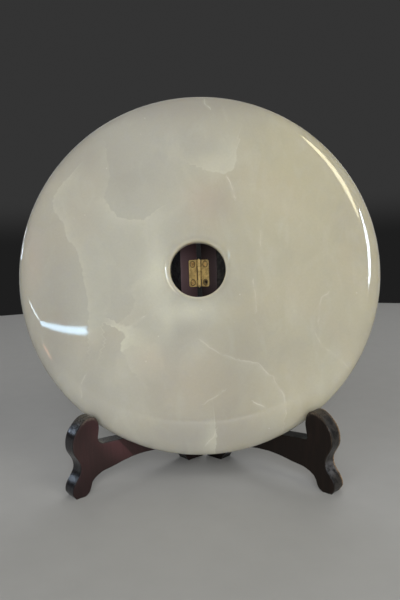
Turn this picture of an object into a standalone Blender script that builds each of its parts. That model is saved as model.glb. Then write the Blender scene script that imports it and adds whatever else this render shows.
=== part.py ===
"""An onyx disc with a central hole, resting on a folding stand of two hinged wooden boards.

The stand opens to a V. Its hinge is at the back and the disc leans against the tops of the two
uprights, with its rim on the two arms behind the hooks. The viewer is at -Y. Lengths are in metres.
"""
import math

import bmesh
import bpy
import numpy as np
from mathutils import Matrix, Vector

# General
TOUCH_GAP = 0.0003
WELD_DISTANCE = 1e-6

# Disc. The rim's power sets how flat the faces stay: 2 would make a lens, more is flatter
DISC_DIAMETER = 0.3048
DISC_THICKNESS = 0.0254
DISC_LEAN = math.radians(11.1)
RIM_POWER = 12
FLAT_DIAMETER = 0.1
HOLE_DIAMETER = 0.0463
HOLE_ROUNDING = 0.008
HOLE_THROAT = 0.003
HOLE_WAIST_FORWARD = 0.005
DISC_STEPS = 96
RIM_STEPS = 8
HOLE_STEPS = 4
SEAT_ROUNDS = 60

# Boards, measured along the board from the hinge axis, and up from the ground
BOARD_SWING = math.radians(42)
BOARD_THICKNESS = 0.014
BOARD_EDGE = 0.0007
BOARD_HEIGHT = 0.212
BOARD_BACK = 0.0004
UPRIGHT_FRONT = 0.0195
UPRIGHT_TOP_RADIUS = 0.0075
ARM_ROOT_HEIGHT = 0.0339
ARM_SLOPE = math.radians(3.4)
ARM_ROOT_RADIUS = 0.018
REAR_FOOT_FRONT = 0.0175
ARCH_HEIGHT = 0.0205

# Front foot, neck and hook, set back from the hook's front and up from the ground
FRONT_FOOT_LENGTH = 0.0100
FRONT_FOOT_OVERHANG = 0.0019
FRONT_FOOT_NOSE = 0.0055
TOE_ROUNDING = 0.0028
HEEL_ROUNDING = 0.0020
NECK_HEIGHT = 0.0235
NECK_DEPTH = 0.0060
HOOK_PLAY = 0.0121
HOOK_WIDTH = 0.0223
HOOK_HEIGHT = 0.0623
HOOK_NOSE_HEIGHT = 0.0405
HOOK_SHOULDER_BACK = 0.0050
HOOK_SHOULDER_DROP = 0.0073
HOOK_CREST = 0.0038
HOOK_LIP = 0.0007
HOOK_LIP_DROP = 0.0049

# The rounded corner where the arm meets the hook's wall. The right board's is tighter
NOTCH_RADIUS_LEFT = 0.0050
NOTCH_RADIUS_RIGHT = 0.0018
CURVE_STEPS = 4
CORNER_STEPS = 6

# Hinge
HINGE_BELOW_TOP = 0.0418
LEAF_HEIGHT = 0.024
LEAF_REACH = 0.0107
LEAF_THICKNESS = 0.0009
LEAF_CORNER = 0.0018
BARREL_DIAMETER = 0.0031
END_KNUCKLE = 0.006
KNUCKLE_RELIEF = 0.0009
PIN_DIAMETER = 0.0015
PIN_TIP = 0.0009
SCREW_FROM_AXIS = 0.0069
SCREW_SPACING = 0.0163
SCREW_HEAD_DIAMETER = 0.0044
SCREW_HEAD_HEIGHT = 0.0008
SCREW_DOME = 0.0004
SCREW_SHANK_DIAMETER = 0.0022
SCREW_LENGTH = 0.0095
SCREW_POINT = 0.0019
SLOT_WIDTH = 0.0006
SLOT_DEPTH = 0.0005
SMALL_STEPS = 18
ROUND = 0.5

# Worked out from the sizes above
DISC_RADIUS = DISC_DIAMETER / 2
HOLE_RADIUS = HOLE_DIAMETER / 2
DISC_FRONT = Vector((0, -math.cos(DISC_LEAN), math.sin(DISC_LEAN)))
BARREL_RADIUS = BARREL_DIAMETER / 2
PIN_RADIUS = PIN_DIAMETER / 2
BOARD_FACE_DEPTH = BARREL_RADIUS + TOUCH_GAP
HINGE_MIDDLE_HEIGHT = BOARD_HEIGHT - HINGE_BELOW_TOP
LEAF_FRONT_DEPTH = BARREL_RADIUS - LEAF_THICKNESS
LEFT, RIGHT = -1, 1


def clear_scene():
    for obj in list(bpy.data.objects):
        bpy.data.objects.remove(obj, do_unlink=True)


def new_collection(name, hidden=False):
    collection = bpy.data.collections.new(name)
    collection.hide_render = hidden
    bpy.context.scene.collection.children.link(collection)
    return collection


def finish(name, colour, roughness, metallic=0.0):
    """A plain material for one piece."""
    material = bpy.data.materials.new(name)
    material.use_nodes = True
    shader = material.node_tree.nodes["Principled BSDF"]
    shader.inputs["Base Color"].default_value = (*colour, 1.0)
    shader.inputs["Roughness"].default_value = roughness
    shader.inputs["Metallic"].default_value = metallic
    return material


def board_frame(side):
    """Axes of one board: along it, up and local Z. Its wood lies towards Z on the left, -Z on the right."""
    along = Vector((side * math.cos(BOARD_SWING), -math.sin(BOARD_SWING), 0))
    up = Vector((0, 0, 1))
    return Matrix((along, up, along.cross(up))).transposed().to_4x4()


def board_point(side, along, height, depth):
    """World place of a point given along a board, up from the ground and into its wood."""
    return board_frame(side) @ Vector((along, height, -side * depth))


def link(name, mesh, collection, material, matrix=None):
    obj = bpy.data.objects.new(name, mesh)
    if matrix is not None:
        obj.matrix_world = matrix
    if material is not None:
        mesh.materials.append(material)
    collection.objects.link(obj)
    return obj


def mesh_of(name, build, smooth_angle=35):
    """A mesh made by a function that fills a bmesh, smooth but for edges over an angle."""
    work = bmesh.new()
    build(work)
    bmesh.ops.recalc_face_normals(work, faces=work.faces)
    mesh = bpy.data.meshes.new(name)
    work.to_mesh(mesh)
    work.free()
    mesh.shade_smooth()
    mesh.set_sharp_from_angle(angle=math.radians(smooth_angle))
    return mesh


def add_box(work, low, high):
    """A box between two corners, as a bmesh primitive. Returns its vertices."""
    low, high = Vector(low), Vector(high)
    size = high - low
    place = Matrix.Translation((low + high) / 2) @ Matrix.Diagonal((*size, 1))
    return bmesh.ops.create_cube(work, size=1, matrix=place)["verts"]


def add_cylinder(work, radius, start, end, steps=SMALL_STEPS, end_radius=None):
    """A closed cylinder or cone between two points."""
    start, end = Vector(start), Vector(end)
    turn = (end - start).to_track_quat("Z", "Y").to_matrix().to_4x4()
    place = Matrix.Translation((start + end) / 2) @ turn
    bmesh.ops.create_cone(
        work,
        cap_ends=True,
        segments=steps,
        radius1=radius,
        radius2=radius if end_radius is None else end_radius,
        depth=(end - start).length,
        matrix=place,
    )


def combine(obj, operation, other):
    """Leaves a live EXACT Boolean on obj."""
    modifier = obj.modifiers.new(other.name, "BOOLEAN")
    modifier.operation = operation
    modifier.object = other
    modifier.solver = "EXACT"


def helper(name, build, collection, matrix):
    """A cutter or a piece to be joined, hidden from renders."""
    obj = link(name, mesh_of(name, build), collection, None, matrix)
    obj.hide_render = True
    obj.display_type = "WIRE"
    return obj


def turned(name, profile, collection, material, steps):
    """A closed ring or solid of revolution about its own Z, from a profile in XZ."""
    mesh = bpy.data.meshes.new(name)
    count = len(profile)
    on_axis = abs(profile[0][0]) < TOUCH_GAP / 10
    edges = [(i, i + 1) for i in range(count - 1)] + ([] if on_axis else [(count - 1, 0)])
    mesh.from_pydata([(x, 0, z) for x, z in profile], edges, [])
    obj = link(name, mesh, collection, material)
    screw = obj.modifiers.new("turn", "SCREW")
    screw.steps = screw.render_steps = steps
    screw.use_merge_vertices = True
    screw.merge_threshold = WELD_DISTANCE
    screw.use_smooth_shade = True
    return obj


def half_thickness(radius):
    """Half the disc's thickness at a radius: a superellipse, flat across the face and rounded at the rim."""
    return DISC_THICKNESS / 2 * math.sqrt(max(0.0, 1 - (radius / DISC_RADIUS) ** RIM_POWER))


def disc_profile():
    """The disc's section, from the hole's throat over the front face and the rim and back to the throat."""
    first = math.acos((FLAT_DIAMETER / DISC_DIAMETER) ** (RIM_POWER / 2))
    face = []
    for i in range(RIM_STEPS):
        turn = first * (1 - i / RIM_STEPS)
        radius = DISC_RADIUS * math.cos(turn) ** (2 / RIM_POWER)
        face.append((radius, half_thickness(radius)))
    back = [(radius, -height) for radius, height in reversed(face)]
    return hole_rounding(1) + face + [(DISC_RADIUS, 0.0)] + back + hole_rounding(-1)[::-1]


def hole_rounding(towards):
    """The hole's edge from its throat out to one face, the front one for 1 and the back one for -1."""
    face_radius = HOLE_RADIUS + HOLE_ROUNDING
    face_height = towards * half_thickness(face_radius)
    throat_height = HOLE_WAIST_FORWARD + towards * HOLE_THROAT / 2
    turns = [math.radians(90) * i / HOLE_STEPS for i in range(HOLE_STEPS + 1)]
    return [
        (
            face_radius - HOLE_ROUNDING * math.cos(turn),
            throat_height + (face_height - throat_height) * math.sin(turn),
        )
        for turn in turns
    ]


def rim_gap(points, centre):
    """How far each point is from the disc's surface, near the surface. Negative is inside."""
    offset = np.asarray(points) - np.array(centre)
    axis = np.array(DISC_FRONT)
    axial = offset @ axis
    radial = np.linalg.norm(offset - axial[:, None] * axis, axis=1)
    across = axial / (DISC_THICKNESS / 2)
    out = radial / DISC_RADIUS
    value = out ** RIM_POWER + across ** 2 - 1
    slope_out = RIM_POWER * out ** (RIM_POWER - 1) / DISC_RADIUS
    slope_across = 2 * across / (DISC_THICKNESS / 2)
    return value / np.hypot(slope_out, slope_across)


def arm_height(along):
    """How high the arm's top is at a place along the board. It rises towards the hook."""
    return ARM_ROOT_HEIGHT + (along - UPRIGHT_FRONT) * math.tan(ARM_SLOPE)


def corner_height(along, radius):
    """How high the centre of a rounded corner stands, so that it runs smoothly into the arm's top."""
    return arm_height(along) + radius / math.cos(ARM_SLOPE)


def seat_disc():
    """The disc's centre when its back touches both uprights and its rim touches both arms."""
    depths = (BOARD_FACE_DEPTH, BOARD_FACE_DEPTH + BOARD_THICKNESS)
    arc = [math.radians(a) for a in range(0, 91, 3)]
    low = BOARD_HEIGHT - UPRIGHT_TOP_RADIUS
    inner = UPRIGHT_FRONT - UPRIGHT_TOP_RADIUS
    edge = [(UPRIGHT_FRONT, height) for height in np.linspace(ARM_ROOT_HEIGHT + ARM_ROOT_RADIUS, low, 60)]
    radius = UPRIGHT_TOP_RADIUS
    edge += [(inner + radius * math.cos(a), low + radius * math.sin(a)) for a in arc]
    arm = [(along, arm_height(along)) for along in np.linspace(UPRIGHT_FRONT, DISC_RADIUS, 200)]
    back = [board_point(s, a, h, d) for s in (LEFT, RIGHT) for d in depths for a, h in edge]
    under = [board_point(s, a, h, d) for s in (LEFT, RIGHT) for d in depths for a, h in arm]
    centre = Vector((0, 0, arm_height(DISC_RADIUS))) + DISC_FRONT * DISC_THICKNESS
    centre.z += DISC_RADIUS * math.cos(DISC_LEAN)
    for _ in range(SEAT_ROUNDS):
        centre += DISC_FRONT * (TOUCH_GAP - rim_gap(back, centre).min())
        centre.z += TOUCH_GAP - rim_gap(under, centre).min()
    return centre


def hook_wall(centre):
    """How far along the board the hook's wall stands: in front of the disc's face, by the play."""
    along = DISC_RADIUS
    step = TOUCH_GAP / 3
    while rim_gap([board_point(LEFT, along, HOOK_HEIGHT, BOARD_FACE_DEPTH)], centre)[0] > 0:
        along -= step
    return along + HOOK_PLAY


def board_knots(wall, notch_radius):
    """The board's outline, from the rear foot forward and round by the hook: along, height, smooth or not."""
    front = wall + HOOK_WIDTH
    nose = front + FRONT_FOOT_OVERHANG
    heel = nose - TOE_ROUNDING - FRONT_FOOT_LENGTH
    round_top = BOARD_HEIGHT - UPRIGHT_TOP_RADIUS
    notch_along = wall - notch_radius
    notch_height = corner_height(notch_along, notch_radius)
    root_along = UPRIGHT_FRONT + ARM_ROOT_RADIUS
    root_height = corner_height(root_along, ARM_ROOT_RADIUS)
    arm_turn = 270 + math.degrees(ARM_SLOPE)
    front_end = [
        (nose, FRONT_FOOT_NOSE),
        (front - NECK_DEPTH, NECK_HEIGHT),
        (front, HOOK_NOSE_HEIGHT),
        (front - HOOK_SHOULDER_BACK, HOOK_HEIGHT - HOOK_SHOULDER_DROP),
        (wall + HOOK_CREST, HOOK_HEIGHT),
        (wall - HOOK_LIP, HOOK_HEIGHT - HOOK_LIP_DROP),
    ]
    knots = [(BOARD_BACK, 0.0, False), (REAR_FOOT_FRONT, 0.0, False)]
    knots += [(x, z, True) for x, z in arch_points(REAR_FOOT_FRONT, heel)]
    knots += [(heel + HEEL_ROUNDING, 0.0, False), (nose - TOE_ROUNDING, 0.0, False)]
    knots += [(x, z, True) for x, z in front_end]
    knots += arc_knots(notch_along, notch_height, notch_radius, 360, arm_turn)
    knots += arc_knots(root_along, root_height, ARM_ROOT_RADIUS, arm_turn, 180)
    knots += arc_knots(UPRIGHT_FRONT - UPRIGHT_TOP_RADIUS, round_top, UPRIGHT_TOP_RADIUS, 0, 90)
    knots += arc_knots(BOARD_BACK + UPRIGHT_TOP_RADIUS, round_top, UPRIGHT_TOP_RADIUS, 90, 180)
    return knots


def arch_points(start, heel):
    """The arch under the arm, steep at both feet. Each point is a share of its run and of its height."""
    shares = ((0.035, 0.25), (0.157, 0.70), (0.424, 1.0), (0.739, 0.88), (0.939, 0.57), (0.986, 0.12))
    return [(start + run * (heel - start), rise * ARCH_HEIGHT) for run, rise in shares]


def arc_knots(along, height, radius, start, end):
    """Corner knots on an arc, given its centre, radius and two angles in degrees."""
    turns = [math.radians(start + (end - start) * i / CORNER_STEPS) for i in range(CORNER_STEPS + 1)]
    return [(along + radius * math.cos(t), height + radius * math.sin(t), False) for t in turns]


def board(name, side, wall, collection, material):
    """One board: its outline as a filled 2D curve with rounded edges, made a mesh to be drilled."""
    curve = bpy.data.curves.new(name, "CURVE")
    curve.dimensions = "2D"
    curve.fill_mode = "BOTH"
    curve.resolution_u = CURVE_STEPS
    curve.extrude = BOARD_THICKNESS / 2 - BOARD_EDGE
    curve.bevel_depth = BOARD_EDGE
    curve.bevel_resolution = 1
    curve.offset = -BOARD_EDGE
    spline = curve.splines.new("BEZIER")
    spline.use_cyclic_u = True
    knots = board_knots(wall, NOTCH_RADIUS_LEFT if side == LEFT else NOTCH_RADIUS_RIGHT)
    spline.bezier_points.add(len(knots) - 1)
    for point, (along, height, smooth) in zip(spline.bezier_points, knots):
        point.co = (along, height, 0)
        point.handle_left_type = point.handle_right_type = "AUTO" if smooth else "VECTOR"
    drawn = bpy.data.objects.new(name + "_outline", curve)
    middle = -side * (BOARD_FACE_DEPTH + BOARD_THICKNESS / 2)
    drawn.matrix_world = board_frame(side) @ Matrix.Translation((0, 0, middle))
    collection.objects.link(drawn)
    bpy.context.view_layer.update()
    mesh = bpy.data.meshes.new_from_object(drawn.evaluated_get(bpy.context.evaluated_depsgraph_get()))
    mesh.transform(Matrix.Translation((0, 0, middle)))
    mesh.name = name
    bpy.data.objects.remove(drawn, do_unlink=True)
    work = bmesh.new()
    work.from_mesh(mesh)
    bmesh.ops.remove_doubles(work, verts=work.verts, dist=WELD_DISTANCE)
    bmesh.ops.recalc_face_normals(work, faces=work.faces)
    work.to_mesh(mesh)
    work.free()
    mesh.shade_smooth()
    mesh.set_sharp_from_angle(angle=math.radians(30))
    return link(name, mesh, collection, material, board_frame(side))


def screw_height(upper):
    return HINGE_MIDDLE_HEIGHT + (SCREW_SPACING / 2 if upper else -SCREW_SPACING / 2)


def pilot_hole(side, upper, cutters):
    """A blind hole in the wood, wide enough for the shank with the touch gap all round."""
    height = screw_height(upper)
    radius = SCREW_SHANK_DIAMETER / 2 + TOUCH_GAP
    depth = -side * (LEAF_FRONT_DEPTH + SCREW_LENGTH + TOUCH_GAP)

    def build(work):
        add_cylinder(work, radius, (SCREW_FROM_AXIS, height, 0), (SCREW_FROM_AXIS, height, depth))

    name = f"pilot_{'left' if side == LEFT else 'right'}_{'upper' if upper else 'lower'}"
    return helper(name, build, cutters, board_frame(side))


def countersink(side, upper, cutters):
    """The hole through a leaf for one screw, with its cone for the head."""
    height = screw_height(upper)
    wide = SCREW_HEAD_DIAMETER / 2 + TOUCH_GAP
    narrow = SCREW_SHANK_DIAMETER / 2 + TOUCH_GAP
    face = -side * LEAF_FRONT_DEPTH
    floor = -side * (LEAF_FRONT_DEPTH + SCREW_HEAD_HEIGHT)
    past = -side * TOUCH_GAP

    def build(work):
        add_cylinder(work, narrow, (SCREW_FROM_AXIS, height, 0), (SCREW_FROM_AXIS, height, 3 * floor))

    def build_cone(work):
        slope = (wide - narrow) / SCREW_HEAD_HEIGHT * TOUCH_GAP
        start = (SCREW_FROM_AXIS, height, face - past)
        end = (SCREW_FROM_AXIS, height, floor)
        add_cylinder(work, wide + slope, start, end, end_radius=narrow)

    name = f"{'left' if side == LEFT else 'right'}_{'upper' if upper else 'lower'}"
    matrix = board_frame(side)
    return [
        helper("screw_hole_" + name, build, cutters, matrix),
        helper("screw_cone_" + name, build_cone, cutters, matrix),
    ]


def knuckle_spans(side):
    """The heights that a leaf's knuckles fill: both ends on the left leaf, the middle on the right one."""
    low = HINGE_MIDDLE_HEIGHT - LEAF_HEIGHT / 2
    high = HINGE_MIDDLE_HEIGHT + LEAF_HEIGHT / 2
    if side == LEFT:
        return [(low, low + END_KNUCKLE), (high - END_KNUCKLE, high)]
    return [(low + END_KNUCKLE + TOUCH_GAP, high - END_KNUCKLE - TOUCH_GAP)]


def hinge_leaf(name, side, collection, cutters, material):
    """A leaf: its plate with rounded outer corners, its knuckles joined on, then bored and countersunk."""
    low = HINGE_MIDDLE_HEIGHT - LEAF_HEIGHT / 2
    high = HINGE_MIDDLE_HEIGHT + LEAF_HEIGHT / 2
    start = BARREL_RADIUS + KNUCKLE_RELIEF
    front = -side * LEAF_FRONT_DEPTH
    back = -side * BARREL_RADIUS
    matrix = board_frame(side)

    def build_plate(work):
        add_box(work, (start, low, min(front, back)), (LEAF_REACH, high, max(front, back)))
        outer = [e for e in work.edges if all(v.co.x > LEAF_REACH - TOUCH_GAP for v in e.verts)]
        corners = [e for e in outer if abs(e.verts[0].co.y - e.verts[1].co.y) < TOUCH_GAP]
        bmesh.ops.bevel(
            work,
            geom=corners,
            offset=LEAF_CORNER,
            segments=CURVE_STEPS,
            affect="EDGES",
            profile=ROUND,
        )

    obj = link(name, mesh_of(name, build_plate), collection, material, matrix)
    for i, (bottom, top) in enumerate(knuckle_spans(side)):

        def build_web(work, bottom=bottom, top=top):
            inner = (TOUCH_GAP, bottom, min(front, back))
            add_box(work, inner, (start + LEAF_THICKNESS, top, max(front, back)))

        def build_knuckle(work, bottom=bottom, top=top):
            add_cylinder(work, BARREL_RADIUS, (0, bottom, 0), (0, top, 0))

        combine(obj, "UNION", helper(f"{name}_web_{i}", build_web, cutters, matrix))
        combine(obj, "UNION", helper(f"{name}_knuckle_{i}", build_knuckle, cutters, matrix))

    def build_bore(work):
        radius = PIN_RADIUS + TOUCH_GAP
        add_cylinder(work, radius, (0, low - PIN_TIP, 0), (0, high + PIN_TIP, 0))

    combine(obj, "DIFFERENCE", helper(f"{name}_bore", build_bore, cutters, matrix))
    for upper in (True, False):
        for cutter in countersink(side, upper, cutters):
            combine(obj, "DIFFERENCE", cutter)
    return obj


def hinge_pin(collection, material):
    """The pin, with a small rounded tip showing above and below the knuckles."""
    reach = LEAF_HEIGHT / 2 + PIN_TIP
    shoulder = LEAF_HEIGHT / 2 + PIN_TIP / 2
    turns = [math.radians(a) for a in (90, 45, 0)]
    profile = [(PIN_RADIUS * math.cos(t), shoulder + (reach - shoulder) * math.sin(t)) for t in turns]
    profile += [(x, -z) for x, z in reversed(profile)]
    obj = turned("hinge_pin", profile, collection, material, SMALL_STEPS)
    obj.location = (0, 0, HINGE_MIDDLE_HEIGHT)
    return obj


def screw(name, side, upper, slot_turn, collection, cutters, material):
    """A countersunk slotted screw, pointing into the wood from the leaf's face."""
    head = SCREW_HEAD_DIAMETER / 2
    shank = SCREW_SHANK_DIAMETER / 2
    turns = [math.radians(a) for a in (90, 60, 30, 0)]
    profile = [(head * math.cos(t), SCREW_DOME * math.sin(t)) for t in turns]
    profile += [(shank, -SCREW_HEAD_HEIGHT), (shank, SCREW_POINT - SCREW_LENGTH), (0.0, -SCREW_LENGTH)]
    obj = turned(name, profile, collection, material, SMALL_STEPS)
    depth = Vector(board_point(side, 0, 0, 1) - board_point(side, 0, 0, 0))
    place = board_point(side, SCREW_FROM_AXIS, screw_height(upper), LEAF_FRONT_DEPTH)
    turn = (-depth).to_track_quat("Z", "Y").to_matrix().to_4x4()
    obj.matrix_world = Matrix.Translation(place) @ turn

    def build_slot(work):
        reach = SCREW_HEAD_DIAMETER
        add_box(
            work,
            (-reach, -SLOT_WIDTH / 2, SCREW_DOME - SLOT_DEPTH),
            (reach, SLOT_WIDTH / 2, SCREW_DOME + SLOT_DEPTH),
        )

    slot = Matrix.Translation(place) @ turn @ Matrix.Rotation(slot_turn, 4, "Z")
    combine(obj, "DIFFERENCE", helper(name + "_slot", build_slot, cutters, slot))
    return obj


def disc(centre, collection, material):
    obj = turned("onyx_disc", disc_profile(), collection, material, DISC_STEPS)
    obj.matrix_world = Matrix.Translation(centre) @ Matrix.Rotation(math.pi / 2 - DISC_LEAN, 4, "X")
    return obj


def stand_on_origin(pieces, helpers):
    """Hangs everything on one empty, moved so that the whole box stands centred on the world origin."""
    bpy.context.view_layer.update()
    graph = bpy.context.evaluated_depsgraph_get()
    corners = []
    for obj in pieces:
        solid = obj.evaluated_get(graph)
        corners += [solid.matrix_world @ v.co for v in solid.data.vertices]
    corners = np.array(corners)
    middle = (corners.min(axis=0) + corners.max(axis=0)) / 2
    root = bpy.data.objects.new("stand_origin", None)
    bpy.context.scene.collection.objects.link(root)
    for obj in pieces + helpers:
        obj.parent = root
    root.location = (-middle[0], -middle[1], -corners.min(axis=0)[2])


def main():
    clear_scene()
    parts = new_collection("onyx_disc_on_stand")
    cutters = new_collection("cutters", hidden=True)
    onyx = finish("onyx", (0.62, 0.60, 0.50), 0.18)
    left_wood = finish("left_wood", (0.060, 0.030, 0.030), 0.38)
    right_wood = finish("right_wood", (0.028, 0.020, 0.018), 0.42)
    brass = finish("aged_brass", (0.46, 0.36, 0.17), 0.38, 1.0)
    screw_brass = finish("screw_brass", (0.42, 0.32, 0.14), 0.34, 1.0)

    centre = seat_disc()
    wall = hook_wall(centre)
    left = board("left_board", LEFT, wall, parts, left_wood)
    right = board("right_board", RIGHT, wall, parts, right_wood)
    for wood, side in ((left, LEFT), (right, RIGHT)):
        for upper in (True, False):
            combine(wood, "DIFFERENCE", pilot_hole(side, upper, cutters))
    disc(centre, parts, onyx)
    hinge_leaf("hinge_left_leaf", LEFT, parts, cutters, brass)
    hinge_leaf("hinge_right_leaf", RIGHT, parts, cutters, brass)
    hinge_pin(parts, brass)
    screw("screw_left_upper", LEFT, True, math.radians(35), parts, cutters, screw_brass)
    screw("screw_left_lower", LEFT, False, math.radians(-50), parts, cutters, screw_brass)
    screw("screw_right_upper", RIGHT, True, math.radians(70), parts, cutters, screw_brass)
    stand_on_origin(list(parts.objects), list(cutters.objects))


main()
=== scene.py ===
"""The onyx disc on its folding stand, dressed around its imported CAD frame.

Lengths are in metres and angles in radians, unless a name says otherwise. The viewer is at -Y, the
hinge stands at the back and +Z is up.
"""
from __future__ import annotations

import logging
import math
from dataclasses import dataclass, field
from enum import Enum
from typing import Any, Callable

import bmesh
import bpy
import numpy as np
from bmesh.types import BMesh
from bpy.types import ID, Material, Mesh, Node, NodeSocket, NodeTree, Object
from mathutils import Color, Matrix, Vector
from mathutils.geometry import delaunay_2d_cdt


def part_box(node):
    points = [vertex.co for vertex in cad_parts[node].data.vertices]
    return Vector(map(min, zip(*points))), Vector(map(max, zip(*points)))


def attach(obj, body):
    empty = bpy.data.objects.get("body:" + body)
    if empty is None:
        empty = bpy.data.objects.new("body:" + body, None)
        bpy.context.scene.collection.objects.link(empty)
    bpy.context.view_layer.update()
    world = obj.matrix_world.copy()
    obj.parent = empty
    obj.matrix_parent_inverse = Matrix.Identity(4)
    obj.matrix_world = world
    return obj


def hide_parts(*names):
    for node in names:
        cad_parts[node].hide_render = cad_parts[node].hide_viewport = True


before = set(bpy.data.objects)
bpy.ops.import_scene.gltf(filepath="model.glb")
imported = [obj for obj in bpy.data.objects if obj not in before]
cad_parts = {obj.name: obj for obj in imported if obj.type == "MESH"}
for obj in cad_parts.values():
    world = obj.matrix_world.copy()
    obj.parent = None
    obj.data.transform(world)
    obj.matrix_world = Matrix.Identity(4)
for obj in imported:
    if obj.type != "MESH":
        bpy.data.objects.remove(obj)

LOG = logging.getLogger("onyx_disc")
MM = 0.001
WELD = 1e-6
LEFT_BODY = "disc_and_left_board"
RIGHT_BODY = "right_board_body"

Colour = tuple[float, float, float]
Pair = tuple[float, float]
Inputs = dict[Any, Any] | None
Place = tuple[float, float, float] | Vector
Knot = tuple[float, float, bool]
Array = np.ndarray


def tone(red: float, green: float, blue: float) -> Colour:
    """A display colour, 0 to 255 each, as the linear colour that a shader takes.

    Args:
        red, green, blue: the display values.
    Returns:
        The linear colour.
    """
    return tuple(Color((red / 255, green / 255, blue / 255)).from_srgb_to_scene_linear())


# Node trees


def operator(operation: str, swapped: bool = False) -> Callable[["Expr", "Expr | float"], "Expr"]:
    """A Python operator between node outputs and numbers that adds one Math node.

    Args:
        operation: the node's operation.
        swapped: whether the right side is the node's first value.
    Returns:
        The operator's method.
    """

    def act(self: "Expr", other: "Expr | float") -> "Expr":
        """The added node's output."""
        return self.graph.math(operation, *((other, self) if swapped else (self, other)))

    return act


class Expr:
    """A node's output that takes part in Python arithmetic. Each operation adds its Math node."""

    def __init__(self, graph: "Graph", socket: NodeSocket) -> None:
        """Args: graph, the tree's builder, and socket, the output that is wrapped."""
        self.graph = graph
        self.socket = socket

    __add__ = __radd__ = operator("ADD")
    __sub__, __rsub__ = operator("SUBTRACT"), operator("SUBTRACT", swapped=True)
    __mul__ = __rmul__ = operator("MULTIPLY")
    __truediv__, __rtruediv__ = operator("DIVIDE"), operator("DIVIDE", swapped=True)
    __pow__ = operator("POWER")

    def __abs__(self) -> "Expr":
        """The value without its sign."""
        return self.graph.math("ABSOLUTE", self)

    def step(self, low: float, high: float) -> "Expr":
        """A smooth rise from 0 at low to 1 at high, or a fall where low is the larger.

        Args:
            low: the value where the result is 0.
            high: the value where it is 1.
        Returns:
            The step.
        """
        start, end, first, last = (low, high, 0.0, 1.0) if low < high else (high, low, 1.0, 0.0)
        ends = {"From Min": start, "From Max": end, "To Min": first, "To Max": last}
        smooth = {"interpolation_type": "SMOOTHSTEP"}
        return self.graph.out("ShaderNodeMapRange", smooth, {"Value": self} | ends)


class Graph:
    """Adds nodes to one shader or geometry tree and joins them."""

    def __init__(self, tree: NodeTree) -> None:
        """Args: tree, the node tree to fill."""
        self.tree = tree

    def join(self, socket: NodeSocket, value: Any) -> None:
        """Sets an input, or links it where the value is an output.

        Args:
            socket: the input.
            value: an Expr, a colour of three numbers, or any plain value.
        """
        if isinstance(value, Expr):
            self.tree.links.new(value.socket, socket)
        elif socket.type == "RGBA":
            socket.default_value = (*value, 1.0)
        else:
            socket.default_value = value

    def node(self, kind: str, settings: Inputs = None, sockets: Inputs = None) -> Node:
        """Any node: its settings first, then its inputs.

        Args:
            kind: the node's type.
            settings: its properties.
            sockets: inputs by name or index.
        Returns:
            The node.
        """
        made = self.tree.nodes.new(kind)
        for name, value in (settings or {}).items():
            setattr(made, name, value)
        self.fill(made, sockets)
        return made

    def fill(self, node: Node, sockets: Inputs) -> None:
        """Sets or links a node's inputs by name or index."""
        for name, value in (sockets or {}).items():
            self.join(node.inputs[name], value)

    def out(
        self, kind: str, settings: Inputs = None, sockets: Inputs = None, name: Any = 0
    ) -> Expr:
        """A new node's output, the first one unless another is named."""
        return Expr(self, self.node(kind, settings, sockets).outputs[name])

    def math(self, operation: str, *values: "Expr | float") -> Expr:
        """One Math node on one, two or three values."""
        return self.out("ShaderNodeMath", {"operation": operation}, dict(enumerate(values)))

    def mix(self, factor: "Expr | float", first: "Expr | Colour", second: "Expr | Colour") -> Expr:
        """Two colours mixed: the first where the factor is 0, the second where it is 1."""
        sockets = {"Factor": factor, 6: first, 7: second}
        return self.out("ShaderNodeMix", {"data_type": "RGBA"}, sockets, 2)

    def layers(self, base: "Expr | Colour", *coats: tuple["Expr | float", "Expr | Colour"]) -> Expr:
        """A base colour under coats that are mixed over it in turn.

        Args:
            base: the colour at the bottom.
            coats: each one's factor and colour, from the lowest up.
        Returns:
            The mixed colour.
        """
        for factor, coat in coats:
            base = self.mix(factor, base, coat)
        return base

    def scaled(self, place: Expr, scale: Colour, offset: Colour = (0, 0, 0)) -> Expr:
        """A position stretched by scale and moved by offset, for a pattern."""
        sockets = {"Vector": place, "Scale": scale, "Location": offset}
        return self.out("ShaderNodeMapping", {}, sockets)

    def noise(
        self,
        place: Expr,
        scale: float,
        detail: float = 3.0,
        distortion: float = 0.0,
        rough: float = 0.5,
    ) -> Expr:
        """Fractal noise about 0.5 at a position."""
        values = {"Scale": scale, "Detail": detail, "Distortion": distortion, "Roughness": rough}
        return self.out("ShaderNodeTexNoise", {}, {"Vector": place} | values, "Fac")

    def parts(self, vector: Expr) -> tuple[Expr, Expr, Expr]:
        """The three numbers of a vector."""
        split = self.node("ShaderNodeSeparateXYZ", {}, {0: vector})
        return tuple(Expr(self, output) for output in split.outputs)

    def attribute(self, name: str) -> Expr:
        """A vector that a mesh stores under a name."""
        return self.out("ShaderNodeAttribute", {"attribute_name": name}, {}, "Vector")

    def bump(self, height: Expr, distance: float, strength: float = 1.0) -> Expr:
        """A bumped normal from a height between 0 and 1 that stands for a distance in metres."""
        sockets = {"Height": height, "Distance": distance, "Strength": strength}
        return self.out("ShaderNodeBump", {}, sockets)


def new_material(name: str) -> tuple[Material, Graph, Node]:
    """An empty material with its main shader.

    Args:
        name: the material's name.
    Returns:
        The material, its graph and its Principled shader.
    """
    material = bpy.data.materials.new(name)
    material.use_nodes = True
    return material, Graph(material.node_tree), material.node_tree.nodes["Principled BSDF"]


# Finishes


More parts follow.
